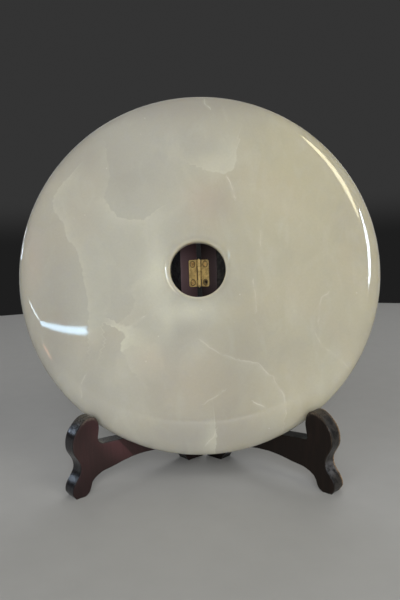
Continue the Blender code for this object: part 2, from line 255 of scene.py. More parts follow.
@dataclass(frozen=True)
class OnyxFinish:
    """Polished pale onyx: cool grey-green on the left, honey on the right, with clouds and veins.

    The mesh brings four vectors: "thread" and "edge" (signed distance, plain distance, strength),
    "cloud" (lightness, with painted shade along the rim, warmth, pinkness) and "bore" (how near
    the hole's edge, for the painted glow on the hole's rounding). Distances in them are in
    millimetres, as are the widths and reaches of edges, threads and halos here.
    """

    cool: Colour = tone(177, 175, 164)
    honey: Colour = tone(187, 181, 156)
    pale: Colour = tone(201, 200, 184)
    shade: Colour = tone(148, 145, 139)
    pink: Colour = tone(192, 174, 162)
    beige: Colour = tone(190, 180, 158)
    milk: Colour = tone(196, 198, 185)
    # glow is the colour of the painted glow on the hole's rounding, standing in for light through
    # the stone.
    glow: Colour = tone(232, 227, 206)
    vein: Colour = tone(222, 221, 208)
    fleck: Colour = tone(222, 222, 212)
    roughness: float = 0.04
    subsurface: float = 0.55
    subsurface_depth: float = 0.008
    subsurface_radius: Colour = (1.0, 0.9, 0.6)
    ior: float = 1.53
    polish_marks: float = 0.0000016
    honey_from: Pair = (-0.05, 0.09)
    streaks_from: Pair = (0.01, 0.06)
    edge_width: float = 4.0
    edge_swell: float = 10.0
    edge_reach: Pair = (28.0, 5.0)
    thread_width: Pair = (0.75, 0.1)
    halo_width: Pair = (3.0, 0.0)
    thread_reach: Pair = (4.5, 1.5)
    fleck_scale: float = 105.0
    fleck_size: Pair = (0.09, 0.03)

    def build(self) -> Material:
        """Makes the onyx's nodes.

        Returns:
            The material.
        """
        material, graph, shader = new_material("polished_onyx")
        place = graph.out("ShaderNodeTexCoord", {}, {}, "Object")
        across, _, _ = graph.parts(place)

        def cloudy(stretch: Colour, shift: Colour, *noise: float) -> Expr:
            """Noise on the stone's place, stretched and shifted."""
            return graph.noise(graph.scaled(place, stretch, shift), *noise)

        warp = graph.noise(place, 26.0, 3.0)
        broad = graph.noise(place, 9.0, 3.0, 0.6)
        clouds = cloudy((1.0, 1.0, 0.7), (3.1, 0.4, 1.7), 22.0, 5.0, 1.1, 0.55)
        streaks = cloudy((1.0, 1.0, 0.22), (1.2, 5.4, 0.3), 75.0, 2.0, 0.4)
        sand = cloudy((1.0, 1.0, 0.8), (4.4, 2.6, 0.9), 13.0, 3.0, 0.9)
        wisps = cloudy((1.6, 1.0, 0.8), (7.7, 2.1, 4.3), 30.0, 4.0, 1.4)
        grain = graph.noise(place, 620.0, 2.0)
        lightness, warmth, pinkness = graph.parts(graph.attribute("cloud"))
        # ring: how near the hole's edge, the strength of the painted glow on the rounding.
        ring, _, _ = graph.parts(graph.attribute("bore"))

        right_side = (across + (broad - 0.5) * 0.16).step(*self.honey_from)
        streaked = streaks.step(0.55, 0.75) * 0.18 * across.step(*self.streaks_from)
        light = clouds.step(0.50, 0.72) * 0.22 + streaked
        colour = graph.layers(
            self.cool,
            (right_side * 0.8 + warmth, self.honey),
            (pinkness * (0.5 + clouds * 0.8), self.pink),
            (sand.step(0.42, 0.70) * 0.28, self.beige),
            (wisps.step(0.48, 0.76) * 0.20, self.milk),
            ((clouds * 0.6 + broad * 0.4).step(0.52, 0.36) * 0.17, self.shade),
            # Negative cloud lightness darkens toward shade; along the rim this is painted shade.
            (lightness * -1.0, self.shade),
            (light + lightness, self.pale),
            (self.edge_glow(graph, place, warp), self.pale),
            (self.threads(graph, place), self.vein),
            (self.flecks(graph, place), self.fleck),
            ((grain - 0.5) * 0.22 + 0.06, self.shade),
            # Painted glow: the hole's rounding is lightened to stand in for light coming through
            # the translucent stone.
            (ring * 0.85, self.glow),
        )
        haze = graph.noise(place, 300.0, 3.0)
        fine = graph.noise(place, 1400.0, 2.0)
        finish = {
            "Base Color": colour,
            "Roughness": self.roughness * (0.75 + haze * 0.5),
            "Normal": graph.bump(fine, self.polish_marks),
            "IOR": self.ior,
            "Subsurface Weight": self.subsurface,
            "Subsurface Radius": self.subsurface_radius,
            "Subsurface Scale": self.subsurface_depth,
        }
        graph.fill(shader, finish)
        return material

    def edge_glow(self, graph: Graph, place: Expr, warp: Expr) -> Expr:
        """How bright the one-sided edges of the clouds are.

        Args:
            graph: the material's graph.
            place: the position.
            warp: a noise that breaks up the edges.
        Returns:
            0 to 1, sharp on one side of each edge and fading away on the other.
        """
        side, near, strength = graph.parts(graph.attribute("edge"))
        ragged = graph.noise(place, 210.0, 4.0)
        bent = side + (warp - 0.5) * 2.0 + (ragged - 0.5) * 4.6
        width = self.edge_width + warp * self.edge_swell
        glow = graph.math("EXPONENT", bent / width * -1.0) * bent.step(-0.5, 0.6)
        return glow * near.step(*self.edge_reach) * strength * (0.25 + ragged * 0.9)

    def threads(self, graph: Graph, place: Expr) -> Expr:
        """How bright the thin veins are.

        Args:
            graph: the material's graph.
            place: the position.
        Returns:
            0 to 1, broken along each vein.
        """
        side, near, strength = graph.parts(graph.attribute("thread"))
        wander = graph.noise(place, 130.0, 3.0)
        broken = graph.noise(place, 90.0, 2.0).step(0.36, 0.58)
        line = abs(side + (wander - 0.5) * 3.0).step(*self.thread_width)
        halo = abs(side).step(*self.halo_width) * 0.14
        return (line * broken * 0.6 + halo) * near.step(*self.thread_reach) * strength

    def flecks(self, graph: Graph, place: Expr) -> Expr:
        """Small pale specks, sparse and uneven.

        Args:
            graph: the material's graph.
            place: the position.
        Returns:
            How bright they are, 0 where there is none.
        """
        sockets = {"Vector": place, "Scale": self.fleck_scale}
        cells = graph.out("ShaderNodeTexVoronoi", {}, sockets, "Distance")
        sparse = graph.noise(place, 17.0, 1.0).step(0.56, 0.66)
        return cells.step(*self.fleck_size) * sparse * 0.4


@dataclass(frozen=True)
class WoodFinish:
    """Dark varnished wood with vertical grain, streaks and edges worn to paler wood.

    The slanted patch of light on an arm starts patch_along along the board at patch_height, both in
    millimetres, and leans forward by patch_lean for each millimetre up.

    The pairs are places in millimetres on the board, from where something is missing to where it
    is full.

    The mesh brings "board" (along, height and depth in millimetres) and "wear" (distance from the
    nearest arris in millimetres, how exposed the place is, whether it is between the faces) and
    "dust" (how dusty the place is, how much of a worn line runs through it, how hazy it is).
    """

    name: str
    ground: Colour
    grain: Colour
    streak: Colour
    arm_light: Colour
    worn: Colour
    end: Colour
    end_light: Colour
    haze: Colour
    dust: Colour
    line: Colour
    streak_turn: float
    end_gloss: float
    wear: float
    line_strength: float
    seed: float
    foot_shade: float = 0.0
    arm_patch: float = 0.0
    painted_neck_highlight: float = 0.0
    gloss: float = 0.42
    # neck: the colour of the painted highlight on the end face's neck.
    neck: Colour = tone(122, 122, 126)
    patch_along: float = 76.0
    patch_height: float = 20.0
    patch_lean: float = 0.833
    patch_edge: Pair = (-0.6, 0.8)
    patch_fade: Pair = (26.0, 3.0)
    crown_up: Pair = (40.0, 58.0)
    crown_along: Pair = (104.0, 112.0)
    foot_down: Pair = (36.0, 6.0)
    neck_from: Pair = (12.0, 17.0)
    neck_to: Pair = (26.0, 21.0)
    # The next two pairs place the painted shade on the rear foot's lower back.
    rear_shade_back: Pair = (27.0, 15.0)
    rear_shade_down: Pair = (26.0, 10.0)
    ior: float = 1.30
    grain_depth: float = 0.00010

    def build(self) -> Material:
        """Makes the wood's nodes.

        Returns:
            The material.
        """
        material, graph, shader = new_material(self.name)
        place = graph.attribute("board")
        shift = (self.seed, self.seed * 0.7, self.seed * 0.3)
        dark, rear_shade_tone = (tuple(c * 0.35 for c in self.ground), tuple(c * 0.3 for c in self.ground))

        def pattern(stretch: Colour, *noise: float) -> Expr:
            """Noise on the board's own place in millimetres, stretched and moved by the seed."""
            return graph.noise(graph.scaled(place, stretch, shift), 1.0, *noise)

        fibre = pattern((2.6, 0.055, 2.6), 4.0, 0.3, 0.6)
        pores = pattern((5.5, 0.16, 5.5), 2.0)
        figure = pattern((0.20, 0.016, 0.3), 3.0, 0.8)
        blotch = pattern((0.12, 0.12, 0.12), 3.0)
        chips = pattern((0.8, 0.8, 0.8), 4.0, 0.0, 0.65)
        patch = pattern((0.22, 0.22, 0.22), 4.0, 0.0, 0.6)
        slope = {"Vector": place, "Rotation": (0, 0, self.streak_turn), "Scale": (0.22, 0.020, 0.1)}
        streaks = graph.noise(graph.out("ShaderNodeMapping", {}, slope), 1.0, 3.0, 0.5)
        near, exposed, band = graph.parts(graph.attribute("wear"))
        dusty, lined, hazy = graph.parts(graph.attribute("dust"))
        along, height, _ = graph.parts(place)

        slant = along - self.patch_along - (height - self.patch_height) * self.patch_lean
        lit = slant.step(*self.patch_edge) * slant.step(*self.patch_fade) * self.arm_patch
        crown = height.step(*self.crown_up) * along.step(*self.crown_along) * 0.8
        low = height.step(*self.foot_down)
        # Painted highlight: the neck of the end face is lightened in patches.
        neck = height.step(*self.neck_from) * height.step(*self.neck_to) * patch.step(0.30, 0.60)
        neck_highlight_coat = (neck * self.painted_neck_highlight, self.neck)
        ends = graph.layers(self.end, (patch.step(0.42, 0.60), self.end_light), neck_highlight_coat)
        # Painted shade: the rear foot's lower back is darkened to stand in for the disc's shadow.
        rear_painted_shade = along.step(*self.rear_shade_back) * height.step(*self.rear_shade_down)
        rubbed = (near + (chips - 0.5) * 1.3).step(0.75 * self.wear, 0.05) * chips.step(0.38, 0.60)
        rubbed = rubbed * (0.12 + exposed)
        top = exposed.step(0.35, 1.0) * chips.step(0.34, 0.72) * 0.62
        colour = graph.layers(
            self.ground,
            (fibre.step(0.40, 0.66), self.grain),
            (figure.step(0.48, 0.62) * 0.6, self.ground),
            (streaks.step(0.50, 0.64) * 0.85, self.streak),
            (pores.step(0.38, 0.26) * 0.65, dark),
            (lit * (0.6 + fibre * 0.6), self.arm_light),
            ((low + crown) * self.foot_shade, dark),
            (band * (0.75 + blotch * 0.3), ends),
            (rear_painted_shade * 0.75, rear_shade_tone),
            (hazy * (0.75 + blotch * 0.25), self.haze),
            (dusty * chips.step(0.30, 0.62), self.dust),
            (rubbed * 0.75, self.worn),
            (top, self.worn),
            (lined * chips.step(0.34, 0.56) * self.line_strength, self.line),
        )
        rough = self.gloss + band * (self.end_gloss - self.gloss)
        rough = rough + (blotch - 0.5) * 0.16 + (fibre - 0.5) * 0.10
        relief = fibre * 0.6 + pores * 0.5 + chips * 0.25
        finish = {
            "Base Color": colour,
            "Roughness": rough + rubbed * 0.25 + top * 0.35,
            "Normal": graph.bump(relief, self.grain_depth, 0.8),
            "IOR": self.ior,
        }
        graph.fill(shader, finish)
        return material


@dataclass(frozen=True)
class BrassFinish:
    """Brass gone dull: golden where it is rubbed, brown in blotches."""

    name: str
    bright: Colour
    tarnish: Colour
    axis: Vector
    rings: tuple[Vector, ...] = ()
    ring_radius: float = 0.00265
    barrel_radius: float = 0.0016
    # This colour serves the dirt specks and the painted shade in the creases.
    dirt_and_crease_shade: Colour = tone(52, 44, 30)
    roughness: float = 0.42
    metallic: float = 0.2
    relief: float = 0.00002
    barrel_shade_from: Pair = (0.0, 0.00015)
    barrel_shade_to: Pair = (0.0013, 0.0006)
    ring_shade: Pair = (0.0008, 0.0002)

    def painted_crease_shade(self, graph: Graph, place: Expr) -> Expr:
        """How much painted shade darkens the creases beside the barrel and the gaps round the
        screws.

        Args:
            graph: the material's graph.
            place: the position.
        Returns:
            0 to 1.
        """

        def away(first: Expr, second: Colour | Vector) -> Expr:
            """How far apart two places are."""
            apart = {"operation": "DISTANCE"}
            return graph.out("ShaderNodeVectorMath", apart, {0: first, 1: second}, "Value")

        flat = graph.scaled(place, (1.0, 1.0, 0.0))
        past_barrel = away(flat, (self.axis.x, self.axis.y, 0.0)) - self.barrel_radius
        dirt_and_crease_shade = past_barrel.step(*self.barrel_shade_from) * past_barrel.step(*self.barrel_shade_to)
        for ring in self.rings:
            round_screw = (away(place, ring) - self.ring_radius).step(*self.ring_shade)
            dirt_and_crease_shade = graph.math("MAXIMUM", dirt_and_crease_shade, round_screw)
        return dirt_and_crease_shade

    def build(self) -> Material:
        """Makes the brass's nodes.

        Returns:
            The material.
        """
        material, graph, shader = new_material(self.name)
        place = graph.out("ShaderNodeTexCoord", {}, {}, "Object")
        blotch = graph.noise(place, 260.0, 4.0, 0.4)
        speck = graph.noise(place, 1500.0, 3.0)
        brushed = graph.noise(graph.scaled(place, (1.0, 1.0, 0.08)), 2600.0, 2.0)
        specks = speck.step(0.44, 0.30)
        colour = graph.layers(
            self.tarnish,
            (blotch.step(0.36, 0.62), self.bright),
            (specks * 0.7, self.dirt_and_crease_shade),
            # Painted shade in the creases beside the barrel and round the screw heads.
            (self.painted_crease_shade(graph, place) * 0.75, self.dirt_and_crease_shade),
        )
        finish = {
            "Base Color": colour,
            "Roughness": self.roughness + (0.5 - blotch) * 0.35 + (brushed - 0.5) * 0.12,
            "Metallic": self.metallic - specks * 0.15,
            "Normal": graph.bump(speck * 0.6 + brushed * 0.4, self.relief),
        }
        graph.fill(shader, finish)
        return material


# Meshes


def plain_mesh(obj: Object, matrix: Matrix | None = None, smooth_deg: float | None = None) -> None:
    """Turns an object's modifiers into its own closed mesh, faces out and put in its place.

    Args:
        obj: a mesh object at the origin.
        matrix: the place that its vertices take.
        smooth_deg: the angle in degrees from which its edges stay sharp, or None for flat faces.
    """
    graph = bpy.context.evaluated_depsgraph_get()
    graph.update()
    mesh = bpy.data.meshes.new_from_object(obj.evaluated_get(graph))
    mesh.name = obj.name
    obj.modifiers.clear()
    obj.data = mesh
    if matrix is not None:
        mesh.transform(matrix)
    work = bmesh.new()
    work.from_mesh(mesh)
    bmesh.ops.remove_doubles(work, verts=work.verts, dist=WELD)
    bmesh.ops.recalc_face_normals(work, faces=work.faces)
    work.to_mesh(mesh)
    work.free()
    if smooth_deg is not None:
        mesh.shade_smooth()
        mesh.set_sharp_from_angle(angle=math.radians(smooth_deg))


def new_object(name: str, data: ID, material: Material | None = None) -> Object:
    """Makes an object and links it to the scene.

    Args:
        name: the object's name.
        data: its mesh, curve, light or camera.
        material: a mesh's material, or None.
    Returns:
        The object.
    """
    obj = bpy.data.objects.new(name, data)
    bpy.context.scene.collection.objects.link(obj)
    if material is not None:
        data.materials.append(material)
    return obj


def facing(way: Vector) -> Matrix:
    """The turn that points Z along a direction."""
    return way.to_track_quat("Z", "Y").to_matrix().to_4x4()


def filled(name: str, build: Callable[[BMesh], None]) -> Mesh:
    """A mesh made by a function that fills a bmesh.

    Args:
        name: the mesh's name.
        build: the function.
    Returns:
        The mesh, with its faces out.
    """
    work = bmesh.new()
    build(work)
    bmesh.ops.recalc_face_normals(work, faces=work.faces)
    mesh = bpy.data.meshes.new(name)
    work.to_mesh(mesh)
    work.free()
    return mesh


def rod(
    radius: float, start: Place, end: Place, steps: int, end_radius: float | None = None
) -> Mesh:
    """A closed cylinder between two points, or a cone where it ends in another radius.

    Args:
        radius: its radius at the start.
        start: the middle of one end.
        end: the middle of the other end.
        steps: how many sides it has.
        end_radius: its radius at the end, or None for the same one.
    Returns:
        The mesh.
    """
    start, end = Vector(start), Vector(end)
    shape = {
        "cap_ends": True,
        "segments": steps,
        "radius1": radius,
        "radius2": radius if end_radius is None else end_radius,
        "depth": (end - start).length,
        "matrix": Matrix.Translation((start + end) / 2) @ facing(end - start),
    }
    return filled("rod", lambda work: bmesh.ops.create_cone(work, **shape))


def add_box(work: BMesh, low: Place, high: Place) -> None:
    """Adds a box between two corners.

    Args:
        work: the bmesh that is added to.
        low: the lowest corner.
        high: the highest corner.
    """
    low, high = Vector(low), Vector(high)
    place = Matrix.Translation((low + high) / 2) @ Matrix.Diagonal((*(high - low), 1))
    bmesh.ops.create_cube(work, size=1, matrix=place)


def box(low: Place, high: Place) -> Mesh:
    """A box between two corners."""
    return filled("box", lambda work: add_box(work, low, high))


class Carving(Enum):
    """What carving does with its tools."""

    JOIN = "UNION"
    CUT = "DIFFERENCE"


def carve(obj: Object, carving: Carving, tools: list[Mesh]) -> None:
    """Joins tools to an object, or cuts them out, with exact Booleans, and leaves a plain mesh.

    Args:
        obj: the object to change.
        carving: whether the tools are joined or cut out.
        tools: closed meshes in the object's own frame.
    """
    helpers = [new_object(f"{obj.name}_tool_{i}", mesh) for i, mesh in enumerate(tools)]
    for helper in helpers:
        modifier = obj.modifiers.new(helper.name, "BOOLEAN")
        modifier.operation = carving.value
        modifier.solver = "EXACT"
        modifier.object = helper
    plain_mesh(obj)
    for helper in helpers:
        bpy.data.objects.remove(helper, do_unlink=True)


def store(mesh: Mesh, name: str, values: Array) -> None:
    """Stores a vector for each vertex under a name."""
    rows = mesh.attributes.new(name, "FLOAT_VECTOR", "POINT").data
    rows.foreach_set("vector", values.astype(np.float32).ravel())


def vertices(mesh: Mesh) -> Array:
    """Reads a mesh's vertices.

    Args:
        mesh: the mesh.
    Returns:
        One row for each vertex.
    """
    found = np.empty(len(mesh.vertices) * 3)
    mesh.vertices.foreach_get("co", found)
    return found.reshape(-1, 3)


def ramp(value: Array, low: float, high: float) -> Array:
    """A straight rise from 0 at low to 1 at high."""
    return np.clip((value - low) / (high - low), 0, 1)


def bell(value: Array, reach: float) -> Array:
    """1 where a value is 0, falling away smoothly over about its reach."""
    return np.exp(-((value / reach) ** 2))


def to_segment(points: Array, start: Array, end: Array) -> Array:
    """How far each point is from the straight line between two ends.

    Args:
        points: rows of two numbers.
        start: one end.
        end: the other end.
    Returns:
        One distance for each point.
    """
    run = end - start
    offset = points - start
    share = np.clip(offset @ run / (run @ run), 0, 1)
    return np.linalg.norm(offset - share[:, None] * run, axis=1)


def to_loop(points: Array, loop: Array) -> Array:
    """How far each point is from a closed outline.

    Args:
        points: rows of two numbers.
        loop: the outline's points in order.
    Returns:
        One distance for each point.
    """
    nearest = np.full(len(points), np.inf)
    for start, end in zip(loop, np.roll(loop, -1, axis=0)):
        nearest = np.minimum(nearest, to_segment(points, start, end))
    return nearest


class Modifier:
    """A Geometry Nodes modifier that is set by its inputs' names."""

    def __init__(self, obj: Object, tree: NodeTree) -> None:
        """Adds the modifier.

        Args:
            obj: what it is put on.
            tree: its node tree.
        """
        self.modifier = obj.modifiers.new(tree.name, "NODES")
        self.modifier.node_group = tree
        sockets = tree.interface.items_tree
        self.names = {item.name: item.identifier for item in sockets if item.in_out == "INPUT"}

    def set(self, **values: Any) -> None:
        """Sets inputs, whose names are given with underscores for spaces."""
        for name, value in values.items():
            self.modifier[self.names[name.replace("_", " ")]] = value


def geometry_tree(name: str, inputs: dict[str, str]) -> tuple[Graph, dict[str, Expr]]:
    """An empty Geometry Nodes tree with named inputs and one geometry output.

    Args:
        name: the tree's name.
        inputs: each input's name with its socket type's last word, such as Float.
    Returns:
        The tree's graph, and its inputs by name.
    """
    tree = bpy.data.node_groups.new(name, "GeometryNodeTree")
    for label, kind in inputs.items():
        tree.interface.new_socket(label, in_out="INPUT", socket_type=f"NodeSocket{kind}")
    tree.interface.new_socket("Geometry", in_out="OUTPUT", socket_type="NodeSocketGeometry")
    graph = Graph(tree)
    group = graph.node("NodeGroupInput")
    return graph, {label: Expr(graph, group.outputs[label]) for label in inputs}


def end_tree(graph: Graph, geometry: Expr, material: Expr) -> None:
    """Ends a tree with real geometry that carries its material.

    Args:
        graph: the tree's graph.
        geometry: what the tree has made.
        material: its material.
    """
    real = graph.out("GeometryNodeRealizeInstances", {}, {"Geometry": geometry})
    dressed = graph.out("GeometryNodeSetMaterial", {}, {"Geometry": real, "Material": material})
    graph.node("NodeGroupOutput", {}, {0: dressed})


# The disc


class VeinKind(Enum):
    """How a vein shows: a thin bright line, or a cloud's edge that is bright on one side."""

    THREAD = "thread"
    EDGE = "edge"


@dataclass(frozen=True)
class Vein:
    """One vein on the disc's face, through points in millimetres right and up from its middle.

    An edge glows on the left of the way it runs, or on the right where flip is set.
    """

    kind: VeinKind
    strength: float
    points: tuple[Pair, ...]
    flip: bool = False


@dataclass(frozen=True)
class Cloud:
    """A soft patch on the disc: its middle and half sizes in millimetres, and what it adds."""

    middle: Pair
    reach: Pair
    light: float = 0.0
    warm: float = 0.0
    pink: float = 0.0


EDGE, THREAD = VeinKind.EDGE, VeinKind.THREAD
VEINS = (
    Vein(EDGE, 0.30, ((-74, 98), (-72, 82), (-74, 71), (-77, 63)), True),
    Vein(EDGE, 0.75, ((-77, 63), (-73, 54), (-66, 45), (-56, 43), (-44, 42), (-38, 46)), True),
    Vein(EDGE, 0.95, ((8, 83), (10, 82), (18, 80.5), (24.5, 79), (31, 81.5), (34.5, 89), (36, 98))),
    Vein(
        EDGE,
        0.62,
        ((-107, 81), (-115, 73), (-121, 60), (-118, 50), (-111, 42), (-108, 29))
        + ((-101, 19), (-96, 3), (-94, -10), (-91, -25), (-91, -54)),
    ),
    Vein(
        EDGE,
        0.32,
        ((-48, -8), (-54, -11.5), (-55.5, -18), (-51.5, -25), (-53, -30), (-56, -37), (-63, -41)),
    ),
    Vein(EDGE, 1.6, ((-67, -48), (-63, -50), (-60, -55), (-64.5, -60), (-63.5, -66))),
    Vein(EDGE, 0.35, ((-63.5, -66), (-60.5, -70), (-59, -76), (-55, -82))),
    Vein(EDGE, 0.8, ((12, -132), (12.5, -139), (12.7, -146)), True),
    Vein(
        EDGE,
        0.35,
        ((68, -120), (68, -110), (66, -103), (60, -95), (54, -87), (46, -79), (36, -76.5)),
    ),
    Vein(
        THREAD,
        0.42,
        ((1.6, -59.5), (9.7, -66), (17.8, -71), (28, -75), (36, -76.5), (46.4, -79))
        + ((54, -87), (59, -90), (60, -95.5), (66, -103), (68, -110), (68.5, -120)),
    ),
    Vein(THREAD, 0.8, ((27, 75), (29, 71), (31, 65), (32, 59))),
    Vein(THREAD, 0.6, ((-59, -50), (-55, -45.5), (-50, -42), (-44.5, -38.5))),
    Vein(THREAD, 0.35, ((3, -109.5), (9.6, -106), (18, -100))),
    Vein(THREAD, 0.8, ((43, -110.4), (50, -113.6))),
    Vein(THREAD, 0.45, ((12, -132), (8.7, -138.5), (4.5, -143))),
    Vein(THREAD, 0.35, ((-94, -86.5), (-97.6, -94.6), (-96.6, -102))),
    Vein(THREAD, 0.42, ((44.7, -12), (46.5, -21), (46.7, -31), (46.5, -36.5))),
    Vein(THREAD, 0.38, ((105, -24), (100.5, -26.6), (98, -37), (96.7, -46))),
    Vein(THREAD, 0.35, ((93.6, -55.5), (98.6, -66), (110, -75), (121, -85))),
    Vein(THREAD, 0.4, ((53, 28), (52, 19))),
    Vein(THREAD, 0.6, ((11, 145), (11, 141), (14, 138))),
    Vein(THREAD, 0.3, ((26, 135), (27.7, 127))),
)

CLOUDS = (
    Cloud((24, 91), (12, 9), light=0.42),
    Cloud((9, 56), (17, 15), light=-0.05, pink=0.40),
    Cloud((-26, 56), (18, 26), light=0.16),
    Cloud((-42, -72), (13, 12), warm=0.25, pink=0.30),
    Cloud((-27, -52), (9, 12), light=0.20, warm=-0.10),
    Cloud((0, -63), (7, 8), light=0.25, warm=-0.15),
    Cloud((8, -141), (5, 6), light=0.35),
    Cloud((-60, 10), (32, 40), light=0.22),
    Cloud((-45, -62), (17, 20), light=0.30, warm=0.10),
    Cloud((-15, -95), (45, 30), warm=0.20, pink=0.15),
    Cloud((-25, -42), (5, 14), light=0.28, warm=-0.20),
    Cloud((-64, -100), (20, 30), light=0.12, warm=-0.15),
    Cloud((-110, -45), (16, 18), light=-0.10),
    Cloud((-136, 14), (8, 30), pink=0.30),
    Cloud((70, -35), (6, 30), light=-0.08, warm=0.05),
    Cloud((80, 70), (55, 45), warm=0.15),
    Cloud((-34, -4), (11, 26), light=0.85),
    Cloud((-8, -36), (20, 9), light=0.75),
    # Next five patches: painted shade on the rim at top, upper left, left and bottom; the left two
    # also cool the stone's tone.
    Cloud((-5, 142), (80, 17), light=-0.55),
    Cloud((-92, 104), (34, 26), light=-0.34),
    Cloud((-122, -62), (17, 42), light=-0.34, warm=-0.2),
    Cloud((-118, 8), (20, 50), light=-0.22, warm=-0.2),
    Cloud((15, -138), (80, 17), light=-0.50),
    Cloud((34, -72), (22, 44), light=-0.30),
    Cloud((22, 52), (14, 18), light=-0.22),
    Cloud((14, -105), (26, 28), light=-0.22),
    Cloud((-40, -122), (32, 22), warm=0.25),
    Cloud((96, -65), (45, 50), warm=-0.22),
    Cloud((22, -32), (32, 11), light=0.16),
)


@dataclass
class OnyxDisc:
    """The turned and polished disc: a superellipse for the faces and rim, and a rounded hole."""

    finish: OnyxFinish
    diameter: float = 0.30455
    thickness: float = 0.0252
    lean: float = math.radians(11.1)
    power: float = 12.0
    hole_diameter: float = 0.0463
    hole_rounding: float = 0.008
    painted_glow_reach: float = 0.0017
    throat: float = 0.003
    waist_forward: float = 0.005
    rim_start: float = 0.965
    rim_rows: int = 9
    face_rows: int = 50
    hole_rows: int = 10
    steps: int = 320
    slant: Pair = (0.35, -0.22)

    def tree(self) -> NodeTree:
        """The lathe: a grid whose rows run over the section and whose columns run round the axis.

        Returns:
            A Geometry Nodes tree with the disc's sizes as inputs.
        """
        names = ("Diameter", "Thickness", "Power", "Rim Start")
        names += ("Hole Diameter", "Hole Rounding", "Throat", "Waist Forward")
        inputs = dict.fromkeys(names, "Float") | {"Material": "Material"}
        graph, given = geometry_tree("turned_disc", inputs)
        half_rows = self.rim_rows + self.face_rows + self.hole_rows + 1
        rim_end = self.rim_rows / half_rows
        face_end = (self.rim_rows + self.face_rows) / half_rows
        hole_end = (half_rows - 1) / half_rows
        counts = {"Vertices X": 2 * half_rows + 1, "Vertices Y": self.steps + 1}
        grid = graph.out("GeometryNodeMeshGrid", {}, {"Size X": 1.0, "Size Y": 1.0} | counts)
        row, column, _ = graph.parts(graph.out("GeometryNodeInputPosition"))
        side = graph.math("SIGN", row)
        way = abs(row) * 2.0

        def share(start: float, end: float) -> Expr:
            """How far the row is between two places on the way from rim to throat."""
            sockets = {"Value": way, "From Min": start, "From Max": end}
            return graph.out("ShaderNodeMapRange", {"clamp": True}, sockets)

        radius = given["Diameter"] * 0.5
        half = given["Thickness"] * 0.5
        face_radius = given["Hole Diameter"] * 0.5 + given["Hole Rounding"]
        last_turn = graph.math("ARCCOSINE", given["Rim Start"] ** (given["Power"] * 0.5))
        rim_turn = last_turn * share(0.0, rim_end)
        rim = radius * graph.math("COSINE", rim_turn) ** (2.0 / given["Power"])
        outer = rim - (radius * given["Rim Start"] - face_radius) * share(rim_end, face_end)
        bulge = graph.math("MAXIMUM", 1.0 - (outer / radius) ** given["Power"], 0.0)
        surface = side * half * graph.math("SQRT", bulge)
        quarter = share(face_end, hole_end) * math.radians(90)
        distance = outer - given["Hole Rounding"] * graph.math("SINE", quarter)
        throat = side * given["Throat"] * 0.5 * (1.0 - share(hole_end, 1.0))
        throat = given["Waist Forward"] + throat
        height = throat + (surface - throat) * graph.math("COSINE", quarter)
        angle = column * math.tau
        x, y = (distance * graph.math(operation, angle) for operation in ("COSINE", "SINE"))
        place = graph.out("ShaderNodeCombineXYZ", {}, {"X": x, "Y": y, "Z": height})
        bent = graph.out("GeometryNodeSetPosition", {}, {"Geometry": grid, "Position": place})
        closed = graph.out("GeometryNodeMergeByDistance", {}, {"Geometry": bent, "Distance": WELD})
        end_tree(graph, closed, given["Material"])
        return graph.tree

    def build(self) -> Object:
        """Builds the disc in its CAD node's place and paints its veins on its vertices.

        Returns:
            The disc.
        """
        obj = new_object("onyx_disc_polished", bpy.data.meshes.new("onyx_disc_polished"))
        Modifier(obj, self.tree()).set(
            Diameter=self.diameter,
            Thickness=self.thickness,
            Power=self.power,
            Hole_Diameter=self.hole_diameter,
            Hole_Rounding=self.hole_rounding,
            Throat=self.throat,
            Waist_Forward=self.waist_forward,
            Rim_Start=self.rim_start,
            Material=self.finish.build(),
        )
        plain_mesh(obj)
        self.paint(obj.data)
        low, high = (Vector(corner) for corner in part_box("onyx_disc"))
        turn = Matrix.Rotation(math.pi / 2 - self.lean, 4, "X")
        obj.data.transform(Matrix.Translation((low + high) / 2) @ turn)
        obj.data.shade_smooth()
        return obj

    def paint(self, mesh: Mesh) -> None:
        """Stores how far each vertex is from the veins, the soft clouds with their painted rim
        shade, and the painted glow by the hole, on the mesh.

        The pattern runs through the stone at a slant, so the back shows it moved.

        Args:
            mesh: the disc about its own axis.
        """
        points = vertices(mesh) / MM
        depth = self.thickness / 2 / MM - points[:, 2]
        flat = points[:, :2] + depth[:, None] * self.slant
        for kind in VeinKind:
            store(mesh, kind.value, self.vein_field(flat, [v for v in VEINS if v.kind is kind]))
        total = np.zeros((len(flat), 3))
        for cloud in CLOUDS:
            away = np.linalg.norm((flat - cloud.middle) / cloud.reach, axis=1)
            total += bell(away, 1.0)[:, None] * (cloud.light, cloud.warm, cloud.pink)
        store(mesh, "cloud", total)
        # The hole's rounding gets a painted glow that fades out from the hole's edge.
        past_edge = np.hypot(points[:, 0], points[:, 1]) - self.hole_diameter / 2 / MM
        store(mesh, "bore", np.column_stack([bell(past_edge, self.painted_glow_reach / MM)] * 3))

    @staticmethod
    def vein_field(flat: Array, veins: list[Vein]) -> Array:
        """For each point, the nearest vein's signed distance, distance and strength.

        Args:
            flat: points on the face, in millimetres.
            veins: the veins to look among.
        Returns:
            One row of three for each point.
        """
        best = np.full(len(flat), np.inf)
        field_values = np.zeros((len(flat), 3))
        for vein in veins:
            ends = np.array(vein.points, dtype=float)
            for start, end in zip(ends[:-1], ends[1:]):
                (run_x, run_y), offset = end - start, flat - start
                away = to_segment(flat, start, end)
                left = run_x * offset[:, 1] - run_y * offset[:, 0]
                closer = away < best - WELD
                best[closer] = away[closer]
                signed = np.where(left < 0, -away, away) * (-1 if vein.flip else 1)
                row = np.column_stack([signed, away, np.full(len(flat), vein.strength)])
                field_values[closer] = row[closer]
        return field_values


# The boards


class Side(Enum):
    """Which board: the viewer's left or right."""

    LEFT = -1
    RIGHT = 1


